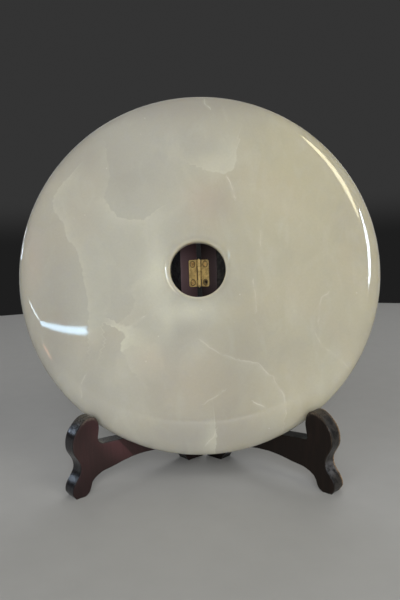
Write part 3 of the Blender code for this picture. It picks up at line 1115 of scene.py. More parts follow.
@dataclass
class Stand:
    """Sizes that both boards and the hinge share."""

    swing: float = math.radians(42)
    barrel_radius: float = 0.00155
    touch_gap: float = 0.0003
    screw_from_axis: float = 0.0069
    screw_spacing: float = 0.0163
    shank_radius: float = 0.0011
    screw_length: float = 0.0095
    leaf_thickness: float = 0.0009
    axis: Vector = field(
        default_factory=lambda: sum((Vector(c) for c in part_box("hinge_pin")), Vector()) / 2
    )

    @property
    def face_depth(self) -> float:
        """How far behind the hinge's axis the boards' hinge faces lie."""
        return self.barrel_radius + self.touch_gap

    @property
    def leaf_front(self) -> float:
        """How far behind the axis a leaf's front face lies."""
        return self.barrel_radius - self.leaf_thickness

    def place(self, side: Side) -> Matrix:
        """The matrix from a board's own frame (along it, up, into its wood) to the world.

        Args:
            side: which board.
        Returns:
            The matrix.
        """
        turn = side.value
        along = Vector((turn * math.cos(self.swing), -math.sin(self.swing), 0))
        up = Vector((0, 0, 1))
        inward = along.cross(up) * -turn
        matrix = Matrix((along, up, inward)).transposed().to_4x4()
        return Matrix.Translation((self.axis.x, self.axis.y, 0)) @ matrix


@dataclass
class Board:
    """One board: a rear foot, an arched arm, a front foot, a neck and a hook, worn at its edges."""

    side: Side
    stand: Stand
    finish: WoodFinish
    wear: float
    seed: int
    wall: float = 0.1097
    thickness: float = 0.014
    height: float = 0.212
    back: float = 0.0004
    upright_front: float = 0.0195
    top_radius: float = 0.0075
    arm_root_height: float = 0.0339
    arm_slope: float = math.radians(3.4)
    arm_root_radius: float = 0.018
    rear_foot_front: float = 0.0175
    arch_height: float = 0.0205
    arch_shares: tuple[Pair, ...] = (
        ((0.035, 0.25), (0.157, 0.70), (0.424, 1.0)) + ((0.739, 0.88), (0.939, 0.57), (0.986, 0.12))
    )
    front_foot_length: float = 0.0100
    front_foot_overhang: float = 0.0019
    front_foot_nose: float = 0.0055
    toe_rounding: float = 0.0028
    heel_rounding: float = 0.0020
    neck_height: float = 0.0235
    neck_depth: float = 0.0060
    hook_width: float = 0.0223
    hook_height: float = 0.0623
    hook_nose_height: float = 0.0405
    hook_shoulder_back: float = 0.0050
    hook_shoulder_drop: float = 0.0073
    hook_crest: float = 0.0038
    hook_lip: float = 0.0007
    hook_lip_drop: float = 0.0049
    notch_radius: float = 0.0050
    edge_radius: float = 0.0007
    grid: float = 0.0028
    step: float = 0.0013
    corner_steps: int = 14
    curve_steps: int = 14
    pilot_steps: int = 28
    round_rows: int = 4
    side_rows: int = 9
    crest_reach: float = 0.006
    nose_reach: float = 0.004
    toe_reach: float = 0.006
    ring_inset: float = 0.0016
    grid_margin: float = 0.0024
    slow_waves: int = 46
    quick_waves: int = 170
    dent_waves: int = 260
    dent_depth: float = 0.0016
    dent_share: float = 0.26
    side_waves: int = 60
    side_wear: float = 0.00012
    bare_waves: int = 90
    bare_shift: float = 0.00016
    skin: float = 0.0008
    surface: float = 0.001
    rounding: float = 0.0004
    rub_reach: float = 0.002
    arm_dust: float = 0.11
    arm_dust_reach: float = 0.006
    notch_dust_back: float = 0.002
    notch_dust_reach: float = 0.004
    line_reach: float = 0.0015
    near_line: float = 0.15
    near_line_from: float = 0.020
    near_line_to: float = 0.050
    haze: float = 0.85
    haze_from: float = 0.100
    haze_to: float = 0.130

    def arm_height(self, along: float) -> float:
        """How high the arm's top is at a place along the board."""
        return self.arm_root_height + (along - self.upright_front) * math.tan(self.arm_slope)

    def corner_height(self, along: float, radius: float) -> float:
        """How high a rounded corner's centre stands to run smoothly into the arm's top."""
        return self.arm_height(along) + radius / math.cos(self.arm_slope)

    def arc(
        self, along: float, height: float, radius: float, start: float, end: float
    ) -> list[Knot]:
        """Corner knots on an arc, given its centre, radius and two angles in degrees."""
        turns = np.radians(np.linspace(start, end, self.corner_steps + 1))
        return [(along + radius * math.cos(t), height + radius * math.sin(t), False) for t in turns]

    def knots(self) -> list[Knot]:
        """The outline's knots, from the rear foot forward.

        Returns:
            Each knot's place along the board, its height, and whether the line runs smoothly on.
        """
        front = self.wall + self.hook_width
        nose = front + self.front_foot_overhang
        heel = nose - self.toe_rounding - self.front_foot_length
        round_top = self.height - self.top_radius
        notch = self.wall - self.notch_radius
        root = self.upright_front + self.arm_root_radius
        arm_turn = 270 + math.degrees(self.arm_slope)
        start = self.rear_foot_front
        knots = [(self.back, 0.0, False), (start, 0.0, False)]
        for run, rise in self.arch_shares:
            knots.append((start + run * (heel - start), rise * self.arch_height, True))
        knots += [(heel + self.heel_rounding, 0.0, False), (nose - self.toe_rounding, 0.0, False)]
        knots += [
            (nose, self.front_foot_nose, True),
            (front - self.neck_depth, self.neck_height, True),
            (front, self.hook_nose_height, True),
            (front - self.hook_shoulder_back, self.hook_height - self.hook_shoulder_drop, True),
            (self.wall + self.hook_crest, self.hook_height, True),
            (self.wall - self.hook_lip, self.hook_height - self.hook_lip_drop, True),
        ]
        for along, radius, start, end in (
            (notch, self.notch_radius, 360, arm_turn),
            (root, self.arm_root_radius, arm_turn, 180),
        ):
            knots += self.arc(along, self.corner_height(along, radius), radius, start, end)
        knots += self.arc(self.upright_front - self.top_radius, round_top, self.top_radius, 0, 90)
        knots += self.arc(self.back + self.top_radius, round_top, self.top_radius, 90, 180)
        return knots

    def outline(self) -> Array:
        """The outline as closely spaced points, in the board's own frame.

        Returns:
            Rows of along and height, anticlockwise.
        """
        curve = bpy.data.curves.new("outline", "CURVE")
        curve.dimensions = "2D"
        curve.fill_mode = "NONE"
        curve.resolution_u = self.curve_steps
        spline = curve.splines.new("BEZIER")
        spline.use_cyclic_u = True
        knots = self.knots()
        spline.bezier_points.add(len(knots) - 1)
        for point, (along, height, is_smooth) in zip(spline.bezier_points, knots):
            point.co = (along, height, 0)
            point.handle_left_type = point.handle_right_type = "AUTO" if is_smooth else "VECTOR"
        drawn = new_object("outline", curve)
        bpy.context.view_layer.update()
        depsgraph = bpy.context.evaluated_depsgraph_get()
        mesh = bpy.data.meshes.new_from_object(drawn.evaluated_get(depsgraph))
        loop = vertices(mesh)[:, :2]
        bpy.data.objects.remove(drawn, do_unlink=True)
        bpy.data.meshes.remove(mesh)
        points = []
        for start, end in zip(loop, np.roll(loop, -1, axis=0)):
            gap = np.linalg.norm(end - start)
            if gap < WELD:
                continue
            count = max(1, math.ceil(gap / self.step))
            points += [start + (end - start) * i / count for i in range(count)]
        return np.array(points)

    @staticmethod
    def inward_normals(loop: Array) -> Array:
        """Each outline point's way into the wood, longer at corners so that edges stay parallel.

        Args:
            loop: the outline.
        Returns:
            One row of two for each point.
        """
        ahead = np.roll(loop, -1, axis=0) - loop
        ahead /= np.linalg.norm(ahead, axis=1)[:, None]
        normal = np.stack([-ahead[:, 1], ahead[:, 0]], axis=1)
        middle = normal + np.roll(normal, 1, axis=0)
        middle /= np.linalg.norm(middle, axis=1)[:, None]
        return middle / np.clip((middle * normal).sum(axis=1), 0.6, 1)[:, None]

    @staticmethod
    def inside(points: Array, loop: Array, margin: float) -> Array:
        """Picks the points that lie well inside a loop.

        Args:
            points: rows of two numbers.
            loop: the outline.
            margin: the least distance from it.
        Returns:
            The rows that are left.
        """
        along, height = points.T
        crossings = np.zeros(len(points), dtype=int)
        for (x0, y0), (x1, y1) in zip(loop, np.roll(loop, -1, axis=0)):
            if y0 != y1:
                spans = (y0 > height) != (y1 > height)
                crossings += spans & (along < x0 + (height - y0) * (x1 - x0) / (y1 - y0))
        return points[(crossings % 2 == 1) & (to_loop(points, loop) > margin)]

    def exposure(self, along: Array, height: Array) -> Array:
        """How much a place is rubbed: most on the hook's top, some on its nose and toe.

        Args:
            along: places along the board.
            height: their heights.
        Returns:
            0 to 1 for each place.
        """
        past_wall = along - self.wall
        crest = bell(height - self.hook_height, self.crest_reach) * (past_wall > -self.nose_reach)
        nose = bell(past_wall - self.hook_width, self.nose_reach) * (height > self.neck_height)
        toe = bell(height, self.toe_reach) * (past_wall > 0)
        return np.clip(crest + 0.45 * nose + 0.35 * toe, 0, 1)

    def section(self, loop: Array) -> list[tuple[Array, Array]]:
        """The worn edge's rows, from the hinge face to the far one.

        Args:
            loop: the outline.
        Returns:
            For each row, how far inside the outline and how deep in the wood each of its points is.
        """
        rng = np.random.default_rng(self.seed)
        count = len(loop)
        uneven = self.wander(rng, count, self.slow_waves)
        uneven += self.wander(rng, count, self.quick_waves)
        exposed = self.exposure(*loop.T)
        radius = self.edge_radius * (1.0 + self.wear * (0.45 * exposed + 0.175 * uneven))
        dents = self.wander(rng, count, self.dent_waves) - 1.0 + self.dent_share
        dents = np.clip(dents, 0, 1) * self.dent_depth * self.wear
        turns = [math.radians(90) * i / self.round_rows for i in range(self.round_rows + 1)]
        corner = [
            (radius * (1 - math.sin(turn)) + dents * math.cos(turn), radius * (1 - math.cos(turn)))
            for turn in turns
        ]
        shift = self.bare_shift * self.wear * (self.wander(rng, count, self.bare_waves) - 0.5)
        sides = []
        for i in range(1, self.side_rows):
            share = i / self.side_rows
            hollow = math.sin(math.pi * share)
            inset = self.wander(rng, count, self.side_waves) + hollow * 0.4
            depth = radius + (self.thickness - 2 * radius) * share + shift * hollow
            sides.append((self.side_wear * self.wear * inset, depth))
        far = [(inset, self.thickness - depth) for inset, depth in reversed(corner)]
        return corner + sides + far

    def build(self) -> Object:
        """Builds the board in its CAD node's place.

        Returns:
            The board.
        """
        loop = self.outline()
        inward = self.inward_normals(loop)
        count = len(loop)
        rows = self.section(loop)
        front = self.stand.face_depth
        points = [
            np.column_stack([loop + inward * inset[:, None], front + depth])
            for inset, depth in rows
        ]
        ends = zip(loop.min(axis=0), loop.max(axis=0))
        xs, ys = np.meshgrid(*(np.arange(low, high, self.grid) for low, high in ends))
        xs = xs + (np.arange(xs.shape[0]) % 2)[:, None] * self.grid / 2
        inner = self.inside(np.column_stack([xs.ravel(), ys.ravel()]), loop, self.grid_margin)
        inner = np.vstack([(loop + inward * self.ring_inset)[::2], inner])

        everything = list(np.vstack(points))
        faces = []
        last = len(rows) - 1
        for row in range(last):
            for i in range(count):
                j, a, b = (i + 1) % count, row * count, (row + 1) * count
                faces.append((a + i, a + j, b + j, b + i))
        links = [(i, (i + 1) % count) for i in range(count)]
        for row, depth in ((0, front), (last, front + self.thickness)):
            border = [Vector(p[:2]) for p in points[row]]
            found = delaunay_2d_cdt(border + [Vector(p) for p in inner], links, [], 1, WELD)
            index = {}
            for new, old in enumerate(found[3]):
                if old and old[0] < count:
                    index[new] = row * count + old[0]
                else:
                    index[new] = len(everything)
                    everything.append(np.array([*found[0][new], depth]))
            faces += [tuple(index[v] for v in face) for face in found[2]]

        mesh = bpy.data.meshes.new(f"{self.side.name.lower()}_board_wood")
        mesh.from_pydata([tuple(p) for p in everything], [], faces)
        obj = new_object(mesh.name, mesh, self.finish.build())
        carve(obj, Carving.CUT, [self.pilot(upper) for upper in (True, False)])
        self.paint(obj.data, loop)
        plain_mesh(obj, self.stand.place(self.side), 38)
        return obj

    @staticmethod
    def wander(rng: np.random.Generator, count: int, waves: int) -> Array:
        """A smooth random walk between 0 and 1 that closes round the outline.

        Args:
            rng: the source of random numbers.
            count: how many points the outline has.
            waves: how many random heights it runs through.
        Returns:
            One number for each point.
        """
        knots = rng.random(waves)
        place = np.arange(count) / count * waves
        first = place.astype(int) % waves
        share = place - place.astype(int)
        share = share * share * (3 - 2 * share)
        return knots[first] * (1 - share) + knots[(first + 1) % waves] * share

    def pilot(self, upper: bool) -> Mesh:
        """The blind hole for one screw.

        Args:
            upper: whether it is the upper screw's.
        Returns:
            The tool, in the board's own frame.
        """
        height = self.stand.axis.z + (0.5 if upper else -0.5) * self.stand.screw_spacing
        place = self.stand.screw_from_axis
        end = self.stand.leaf_front + self.stand.screw_length + self.stand.touch_gap
        radius = self.stand.shank_radius + self.stand.touch_gap
        return rod(radius, (place, height, 0), (place, height, end), self.pilot_steps)

    def paint(self, mesh: Mesh, loop: Array) -> None:
        """Stores each vertex's place on the board and how it wears.

        Args:
            mesh: the board in its own frame.
            loop: its outline.
        """
        points = vertices(mesh)
        along, height, depth = points.T
        depth = depth - self.stand.face_depth
        nearest = to_loop(points[:, :2], loop)
        from_face = np.minimum(depth, self.thickness - depth)
        arris = np.maximum(np.clip(from_face, 0, None), nearest)
        exposed = self.exposure(along, height) * (nearest < self.rub_reach)
        band = (nearest < self.skin) & (from_face > self.rounding)
        store(mesh, "wear", np.column_stack([arris / MM, exposed, band]))

        on_arm = abs(height - self.arm_height(along)) < self.arm_dust_reach
        on_arm = on_arm & (nearest < self.surface) & (along < self.wall + self.surface)
        on_arm = on_arm * ramp(from_face, self.rounding, self.rounding + self.surface)
        notch = bell(along - self.wall + self.notch_dust_back, self.notch_dust_reach)
        arm = self.arm_dust * (along > self.upright_front + self.arm_root_radius)
        far, near = (
            bell(np.maximum(np.clip(inner, 0, None), nearest), reach)
            for inner, reach in ((self.thickness - depth, self.line_reach), (depth, self.rounding))
        )
        near = near * self.near_line * ramp(height, self.near_line_from, self.near_line_to)
        haze = self.haze * ramp(height, self.haze_from, self.haze_to) * (1 - band)
        haze = haze * (0.3 + 0.7 * ramp(along, 0, self.upright_front))
        dust = [on_arm * np.maximum(notch, arm), (far + near) * (along > self.wall), haze]
        store(mesh, "dust", np.column_stack(dust))
        store(mesh, "board", points / MM)


# The hinge


@dataclass
class Hinge:
    """The small brass butt hinge: two leaves with their knuckles, the pin and the wood screws."""

    stand: Stand
    leaf_height: float = 0.024
    leaf_reach: float = 0.0107
    leaf_corner: float = 0.0018
    end_knuckle: float = 0.006
    knuckle_relief: float = 0.0009
    pin_radius: float = 0.00075
    pin_tip: float = 0.0009
    head_radius: float = 0.0022
    head_height: float = 0.0008
    dome: float = 0.0004
    point: float = 0.0019
    slot_width: float = 0.0006
    slot_depth: float = 0.0005
    thread_pitch: float = 0.0010
    thread_depth: float = 0.00028
    thread_slope: float = 3.2
    thread_gap: float = 0.0004
    thread_rows: int = 84
    head_edge: float = 0.00006
    soft_edge: float = 0.00012
    steps: int = 48

    @property
    def span(self) -> Pair:
        """The leaves' lowest and highest height."""
        return self.stand.axis.z - self.leaf_height / 2, self.stand.axis.z + self.leaf_height / 2

    def knuckles(self, side: Side) -> list[Pair]:
        """The heights that a leaf's knuckles fill.

        Args:
            side: which leaf.
        Returns:
            Each knuckle's lowest and highest height.
        """
        low, high = self.span
        gap = self.stand.touch_gap
        if side is Side.LEFT:
            return [(low, low + self.end_knuckle), (high - self.end_knuckle, high)]
        return [(low + self.end_knuckle + gap, high - self.end_knuckle - gap)]

    def leaf(self, side: Side, material: Material) -> Object:
        """One leaf: a plate with rounded corners, knuckles, the pin's bore and countersunk holes.

        Args:
            side: which leaf.
            material: its brass.
        Returns:
            The leaf.
        """
        low, high = self.span
        front, back = self.stand.leaf_front, self.stand.barrel_radius
        start = self.stand.barrel_radius + self.knuckle_relief
        gap = self.stand.touch_gap

        def plate(work: BMesh) -> None:
            """Adds the flat plate.

            Args:
                work: the bmesh that it is added to.
            """
            add_box(work, (start, low, front), (self.leaf_reach, high, back))
            outer = [e for e in work.edges if all(v.co.x > self.leaf_reach - gap for v in e.verts)]
            ends = [e for e in outer if abs(e.verts[0].co.y - e.verts[1].co.y) < gap]
            rounded = {"offset": self.leaf_corner, "segments": 8, "affect": "EDGES", "profile": 0.5}
            bmesh.ops.bevel(work, geom=ends, **rounded)

        obj = new_object(f"hinge_{side.name.lower()}_leaf_brass", filled("leaf", plate), material)
        added = []
        for bottom, top in self.knuckles(side):
            added.append(box((gap, bottom, front), (start + self.stand.leaf_thickness, top, back)))
            added.append(rod(back, (0, bottom, 0), (0, top, 0), self.steps))
        carve(obj, Carving.JOIN, added)
        place = self.stand.screw_from_axis
        narrow = self.stand.shank_radius + gap
        wide = self.head_radius + gap
        slope = (wide - narrow) / self.head_height * gap
        floor = front + self.head_height
        cut = [rod(self.pin_radius + gap, (0, low - gap, 0), (0, high + gap, 0), self.steps)]
        for height in self.screw_heights():
            cut.append(rod(narrow, (place, height, 0), (place, height, 3 * floor), self.steps))
            cone = (place, height, front - gap), (place, height, floor)
            cut.append(rod(wide + slope, *cone, self.steps, narrow))
        carve(obj, Carving.CUT, cut)
        bevel = obj.modifiers.new("soft edges", "BEVEL")
        bevel.width = self.soft_edge
        bevel.segments = 2
        bevel.limit_method = "ANGLE"
        bevel.angle_limit = math.radians(40)
        plain_mesh(obj, self.stand.place(side), 35)
        return obj

    def screw_heights(self) -> Pair:
        """The upper and the lower screw's height."""
        half = self.stand.screw_spacing / 2
        return self.stand.axis.z + half, self.stand.axis.z - half

    def head(self, side: Side, upper: bool) -> Vector:
        """Where one screw's head lies in the world.

        Args:
            side: which leaf.
            upper: whether it is the upper screw.
        Returns:
            The place.
        """
        height = self.screw_heights()[0 if upper else 1]
        place = Vector((self.stand.screw_from_axis, height, self.stand.leaf_front))
        return self.stand.place(side) @ place

    def turned(self, name: str, profile: list[Pair], thread: Pair | None = None) -> Mesh:
        """A solid turned about Z from a profile read from its top down, whose ends lie on the axis.

        Args:
            name: the mesh's name.
            profile: radius and height pairs.
            thread: the heights between which a thread is cut, or None.
        Returns:
            The closed mesh.
        """
        points = [(0.0, 0.0, profile[0][1])]
        for radius, height in profile[1:-1]:
            for i in range(self.steps):
                angle = math.tau * i / self.steps
                size = radius
                if thread is not None and thread[0] < height < thread[1]:
                    phase = (height / self.thread_pitch + i / self.steps) % 1.0
                    size -= self.thread_depth * min(1.0, abs(phase - 0.5) * self.thread_slope)
                points.append((size * math.cos(angle), size * math.sin(angle), height))
        points.append((0.0, 0.0, profile[-1][1]))
        faces = []
        rings = len(profile) - 2
        for i in range(self.steps):
            j = (i + 1) % self.steps
            faces.append((0, 1 + i, 1 + j))
            for ring in range(rings - 1):
                a = 1 + ring * self.steps
                faces.append((a + i, a + self.steps + i, a + self.steps + j, a + j))
            a = 1 + (rings - 1) * self.steps
            faces.append((a + i, len(points) - 1, a + j))
        mesh = bpy.data.meshes.new(name)
        mesh.from_pydata(points, [], faces)
        return mesh

    def pin(self, material: Material) -> Object:
        """The pin, with its domed tips above and below the knuckles.

        Args:
            material: its brass.
        Returns:
            The pin.
        """
        tip = self.pin_tip / 2
        shoulder = self.leaf_height / 2 + tip
        turns = [math.radians(90) * (1 - i / 6) for i in range(7)]
        top = [(self.pin_radius * math.cos(t), shoulder + tip * math.sin(t)) for t in turns]
        middle = [(self.pin_radius, shoulder * (1 - 2 * i / 12)) for i in range(1, 12)]
        profile = top + middle + [(x, -z) for x, z in reversed(top)]
        obj = new_object("hinge_pin_brass", self.turned("hinge_pin_brass", profile), material)
        plain_mesh(obj, Matrix.Translation(self.stand.axis), 50)
        return obj

    def screw_template(self) -> Object:
        """One slotted countersunk wood screw, head up at the origin, for the trees to repeat.

        Returns:
            The screw.
        """
        head, edge, shank = self.head_radius, self.head_edge, self.stand.shank_radius
        turns = [math.radians(90) * (1 - i / 8) for i in range(9)]
        profile = [(head * math.cos(t), self.dome * math.sin(t)) for t in turns]
        profile += [(head - edge, -edge), (shank, -self.head_height)]
        start, end = -self.head_height - self.thread_gap, self.point - self.stand.screw_length
        rows = self.thread_rows
        profile += [(shank, start + (end - start) * i / rows) for i in range(rows + 1)]
        profile += [(shank * (1 - i / 6), end - self.point * i / 6) for i in range(1, 7)]
        obj = new_object("screw_template", self.turned("screw_template", profile, (end, start)))
        reach = 2 * head
        low = (-reach, -self.slot_width / 2, self.dome - self.slot_depth)
        high = (reach, self.slot_width / 2, self.dome + self.slot_depth)
        carve(obj, Carving.CUT, [box(low, high)])
        return obj

    def screw_tree(self, template: Object) -> NodeTree:
        """A row of screws down a leaf: the first place, the step to the next, and their turns.

        Args:
            template: the screw that is repeated.
        Returns:
            The tree.
        """
        kinds = {"Count": "Int", "First": "Vector", "Step": "Vector", "First Turn": "Float"}
        kinds |= {"Turn Step": "Float", "Tip": "Rotation", "Material": "Material"}
        graph, given = geometry_tree("leaf_screws", kinds)
        sockets = {"Count": given["Count"], "Start Location": given["First"]}
        line = graph.out("GeometryNodeMeshLine", {}, sockets | {"Offset": given["Step"]})
        index = graph.out("GeometryNodeInputIndex")
        angle = given["First Turn"] + index * given["Turn Step"]
        slot = graph.out("ShaderNodeCombineXYZ", {}, {"Z": angle})
        turn = graph.out("FunctionNodeEulerToRotation", {}, {0: slot})
        local = {"rotation_space": "LOCAL"}
        placed = graph.out("FunctionNodeRotateRotation", local, {0: given["Tip"], 1: turn})
        model = graph.out("GeometryNodeObjectInfo", {}, {"Object": template}, "Geometry")
        sockets = {"Points": line, "Instance": model, "Rotation": placed}
        row = graph.out("GeometryNodeInstanceOnPoints", {}, sockets)
        end_tree(graph, row, given["Material"])
        return graph.tree

    def screws(
        self,
        side: Side,
        tree: NodeTree,
        material: Material,
        count: int,
        first_turn: float,
        turn_step: float,
    ) -> Object:
        """The screws of one leaf, from the upper one down.

        Args:
            side: which leaf.
            tree: the tree that repeats the screw.
            material: their brass.
            count: how many of its screws the leaf still has.
            first_turn: how the upper screw's slot is turned.
            turn_step: how much further the next one's is turned.
        Returns:
            The screws as one object.
        """
        name = f"hinge_{side.name.lower()}_screws"
        obj = new_object(name, bpy.data.meshes.new(name))
        upper, lower = self.screw_heights()
        outward = self.stand.place(side).to_3x3() @ Vector((0, 0, -1))
        Modifier(obj, tree).set(
            Count=count,
            First=self.head(side, True),
            Step=Vector((0, 0, lower - upper)),
            First_Turn=first_turn,
            Turn_Step=turn_step,
            Tip=outward.to_track_quat("Z", "Y").to_euler(),
            Material=material,
        )
        plain_mesh(obj, None, 35)
        return obj


# The studio


class LampUse(Enum):
    """What a lamp is for: soft light on every surface, or only its own shine in polished ones."""

    SOFT = "soft"
    SHINE = "shine"


@dataclass(frozen=True)
class Lamp:
    """A soft area light, placed round the object by angles as seen from it."""

    name: str
    azimuth: float
    elevation: float
    distance: float
    size: Pair
    power: float
    colour: Colour = (1.0, 1.0, 1.0)
    roll: float = 0.0
    square: bool = False


@dataclass
class Studio:
    """The pale floor, the soft lights and the photograph's camera."""

    aim: Vector = field(default_factory=lambda: Vector((0.0, 0.0, 0.17)))
    world_grey: float = 0.034
    room_grey: float = 0.013
    horizon: Pair = (0.01, 0.09)
    floor_radius: float = 1.4
    floor_roughness: float = 0.6
    floor_tones: tuple[Colour, Colour] = (tone(184, 184, 182), tone(192, 192, 190))
    camera_place: tuple[float, float, float] = (0.01325, -0.461266, 0.193407)
    camera_down: float = 0.0949792
    camera_turn: float = -0.026581
    camera_roll: float = -0.0318
    focal_px: float = 554.0
    frame_px: int = 600
    sensor_mm: float = 36.0
    lamps: tuple[Lamp, ...] = (
        Lamp("front", 3.0, 15.0, 1.6, (0.9, 0.9), 15.6),
        Lamp("low", 0.0, -3.0, 1.3, (0.8, 0.14), 1.9),
        Lamp("key", -35.0, 34.0, 1.9, (1.3, 1.3), 6.0, (0.97, 0.99, 1.0)),
        Lamp("fill", 44.0, 34.0, 2.0, (1.2, 1.2), 8.5, (1.0, 0.96, 0.87)),
        Lamp("rear", 165.0, 40.0, 2.0, (1.3, 1.3), 8.0),
    )
    shines: tuple[Lamp, ...] = (
        Lamp("window_warm", 54.0, 41.5, 1.4, (0.24, 0.72), 4.6, (1.0, 0.90, 0.60), -14.0),
        Lamp("window_cool", 56.0, 19.5, 1.4, (0.17, 0.60), 7.0, (0.72, 0.87, 1.0), -32.0),
        Lamp("strip_front", -30.0, 8.1, 1.37, (0.60, 0.029), 0.95, (0.52, 0.77, 1.0), 15.0, True),
        Lamp("strip_left", -51.0, 5.7, 1.38, (0.44, 0.026), 0.45, (0.74, 0.88, 1.0), -3.0),
        Lamp("glow_low", -50.2, -7.1, 1.0, (0.11, 0.045), 0.10, (1.0, 0.44, 0.26), -29.0),
        Lamp("window_rear", -106.3, 11.8, 1.4, (0.16, 0.14), 1.6, (0.66, 0.80, 1.0)),
        Lamp("window_edge", -121.0, 14.0, 1.4, (0.05, 0.12), 0.3, (0.80, 0.88, 1.0)),
        Lamp("panel_right", 125.0, 10.0, 1.4, (1.4, 1.2), 2.6, (0.97, 0.98, 1.0), square=True),
        Lamp("panel_left", -147.0, 10.0, 1.4, (1.0, 1.2), 1.5, (0.97, 0.98, 1.0), square=True),
        Lamp("panel_top", 180.0, 42.0, 1.5, (1.6, 1.0), 2.0, (1.0, 0.97, 0.93), square=True),
    )

    def light(self, lamp: Lamp, use: LampUse) -> None:
        """Hangs one lamp, facing the object.

        Args:
            lamp: the lamp.
            use: what it lights.
        """
        data = bpy.data.lights.new(lamp.name, "AREA")
        data.shape = "RECTANGLE" if lamp.square else "ELLIPSE"
        data.size, data.size_y = lamp.size
        data.energy = lamp.power
        data.color = lamp.colour
        turn, rise = math.radians(lamp.azimuth), math.radians(lamp.elevation)
        way = Vector((math.sin(turn), -math.cos(turn), math.tan(rise))) * math.cos(rise)
        obj = new_object(lamp.name, data)
        roll = Matrix.Rotation(math.radians(lamp.roll), 4, "Z")
        obj.matrix_world = Matrix.Translation(self.aim + way * lamp.distance) @ facing(way) @ roll
        obj.visible_camera = False
        obj.visible_glossy = use is LampUse.SHINE
        obj.visible_diffuse = use is LampUse.SOFT

    def floor(self) -> None:
        """The pale floor, a flat round sheet."""
        round_sheet = {"cap_ends": True, "radius": self.floor_radius, "segments": 128}
        mesh = filled("floor", lambda work: bmesh.ops.create_circle(work, **round_sheet))
        material, graph, shader = new_material("pale_floor")
        place = graph.out("ShaderNodeTexCoord", {}, {}, "Object")
        grain = graph.noise(place, 40.0, 4.0)
        colour = graph.mix(grain, *self.floor_tones)
        graph.fill(shader, {"Base Color": colour, "Roughness": self.floor_roughness})
        new_object("floor", mesh, material)

    def world(self) -> None:
        """The photograph's grey above, and its dark room along the horizon, seen in the hole."""
        world = bpy.data.worlds.new("studio")
        world.use_nodes = True
        graph = Graph(world.node_tree)
        _, _, rise = graph.parts(graph.out("ShaderNodeTexCoord", {}, {}, "Object"))
        room = graph.mix(rise.step(*self.horizon), (self.room_grey,) * 3, (self.world_grey,) * 3)
        graph.join(world.node_tree.nodes["Background"].inputs["Color"], room)
        bpy.context.scene.world = world

    def camera(self) -> None:
        """The camera at the photograph's viewing angle."""
        data = bpy.data.cameras.new("photo_camera")
        data.sensor_fit = "AUTO"
        data.sensor_width = self.sensor_mm
        data.lens = self.focal_px / self.frame_px * self.sensor_mm
        down, turn, roll = self.camera_down, self.camera_turn, self.camera_roll
        level_way = Vector((math.sin(turn), math.cos(turn), 0))
        forward = level_way * math.cos(down) - Vector((0, 0, math.sin(down)))
        right = Vector((math.cos(turn), -math.sin(turn), 0))
        up = right.cross(forward)
        level = right * math.cos(roll) + up * math.sin(roll)
        tall = up * math.cos(roll) - right * math.sin(roll)
        obj = new_object("photo_camera", data)
        turned = Matrix((level, tall, -forward)).transposed().to_4x4()
        obj.matrix_world = Matrix.Translation(self.camera_place) @ turned
        bpy.context.scene.camera = obj

    def build(self) -> None:
        """Sets up the floor, world, lights, camera and plain colour display."""
        self.floor()
        self.world()
        for use, lamps in ((LampUse.SOFT, self.lamps), (LampUse.SHINE, self.shines)):
            for lamp in lamps:
                self.light(lamp, use)
        self.camera()
        bpy.context.scene.view_settings.view_transform = "Standard"


# All of it


def take_place(obj: Object, body: str, slot: str, *nodes: str) -> None:
    """Makes a piece ride on a body and stand for its CAD nodes, and reports it.

    Args:
        obj: the piece.
        body: the body's name.
        slot: the material slot that its finish belongs to; not used.
        nodes: the CAD nodes that it stands for.
    """
    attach(obj, body)
    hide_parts(*nodes)
    faces = len(obj.data.polygons)
    LOG.info("%s: %d faces, on %s, for %s", obj.name, faces, body, ", ".join(nodes))


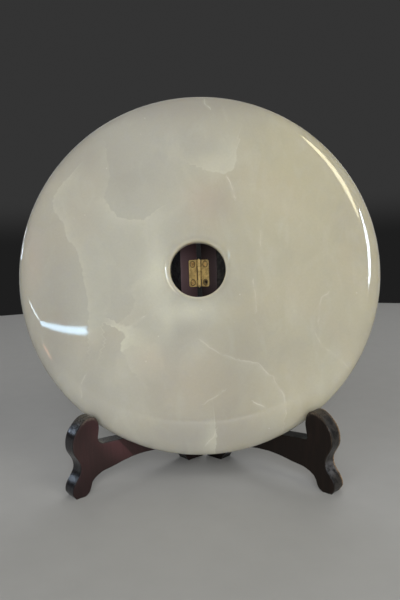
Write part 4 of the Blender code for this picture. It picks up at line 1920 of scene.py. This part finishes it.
def main() -> None:
    logging.basicConfig(level=logging.INFO, format="%(name)s %(message)s")
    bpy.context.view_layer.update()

    take_place(OnyxDisc(OnyxFinish()).build(), LEFT_BODY, "onyx", "onyx_disc")

    stand = Stand()
    left_wood = WoodFinish(
        "left_wood_worn",
        ground=tone(52, 38, 37),
        grain=tone(60, 42, 41),
        streak=tone(60, 41, 41),
        arm_light=tone(86, 56, 58),
        worn=tone(122, 114, 100),
        end=tone(24, 25, 28),
        end_light=tone(34, 35, 36),
        haze=tone(90, 74, 79),
        dust=tone(186, 182, 166),
        line=tone(98, 78, 74),
        streak_turn=math.radians(38),
        end_gloss=0.20,
        wear=0.55,
        line_strength=0.35,
        foot_shade=0.6,
        arm_patch=0.7,
        seed=4.0,
    )
    right_wood = WoodFinish(
        "right_wood_worn",
        ground=tone(21, 16, 13),
        grain=tone(28, 21, 17),
        streak=tone(30, 22, 18),
        arm_light=tone(30, 22, 18),
        worn=tone(112, 101, 88),
        end=tone(20, 19, 18),
        end_light=tone(52, 49, 46),
        haze=tone(70, 59, 62),
        dust=tone(92, 98, 97),
        line=tone(198, 164, 124),
        streak_turn=math.radians(-42),
        end_gloss=0.36,
        wear=0.30,
        line_strength=0.9,
        painted_neck_highlight=0.42,
        seed=9.0,
    )
    left = Board(Side.LEFT, stand, left_wood, wear=1.0, seed=11).build()
    take_place(left, LEFT_BODY, "left_wood", "left_board")
    right = Board(Side.RIGHT, stand, right_wood, wear=1.4, seed=23, notch_radius=0.0018).build()
    take_place(right, RIGHT_BODY, "right_wood", "right_board")

    hinge = Hinge(stand)
    heads = tuple(hinge.head(side, upper) for side in Side for upper in (True, False))
    leaf_tones = tone(206, 180, 120), tone(168, 144, 94)
    screw_tones = tone(204, 172, 112), tone(146, 116, 72)
    leaf_metal = BrassFinish("aged_brass_leaf", *leaf_tones, stand.axis, heads).build()
    screw_metal = BrassFinish("aged_brass_screw", *screw_tones, stand.axis).build()
    take_place(hinge.leaf(Side.LEFT, leaf_metal), LEFT_BODY, "aged_brass", "hinge_left_leaf")
    take_place(hinge.leaf(Side.RIGHT, leaf_metal), RIGHT_BODY, "aged_brass", "hinge_right_leaf")
    take_place(hinge.pin(leaf_metal), LEFT_BODY, "aged_brass", "hinge_pin")
    template = hinge.screw_template()
    tree = hinge.screw_tree(template)
    pair = hinge.screws(Side.LEFT, tree, screw_metal, 2, math.radians(35), math.radians(-85))
    take_place(pair, LEFT_BODY, "screw_brass", "screw_left_upper", "screw_left_lower")
    single = hinge.screws(Side.RIGHT, tree, screw_metal, 1, math.radians(70), 0.0)
    take_place(single, RIGHT_BODY, "screw_brass", "screw_right_upper")
    bpy.data.objects.remove(template, do_unlink=True)

    Studio().build()


if __name__ == "__main__":
    main()
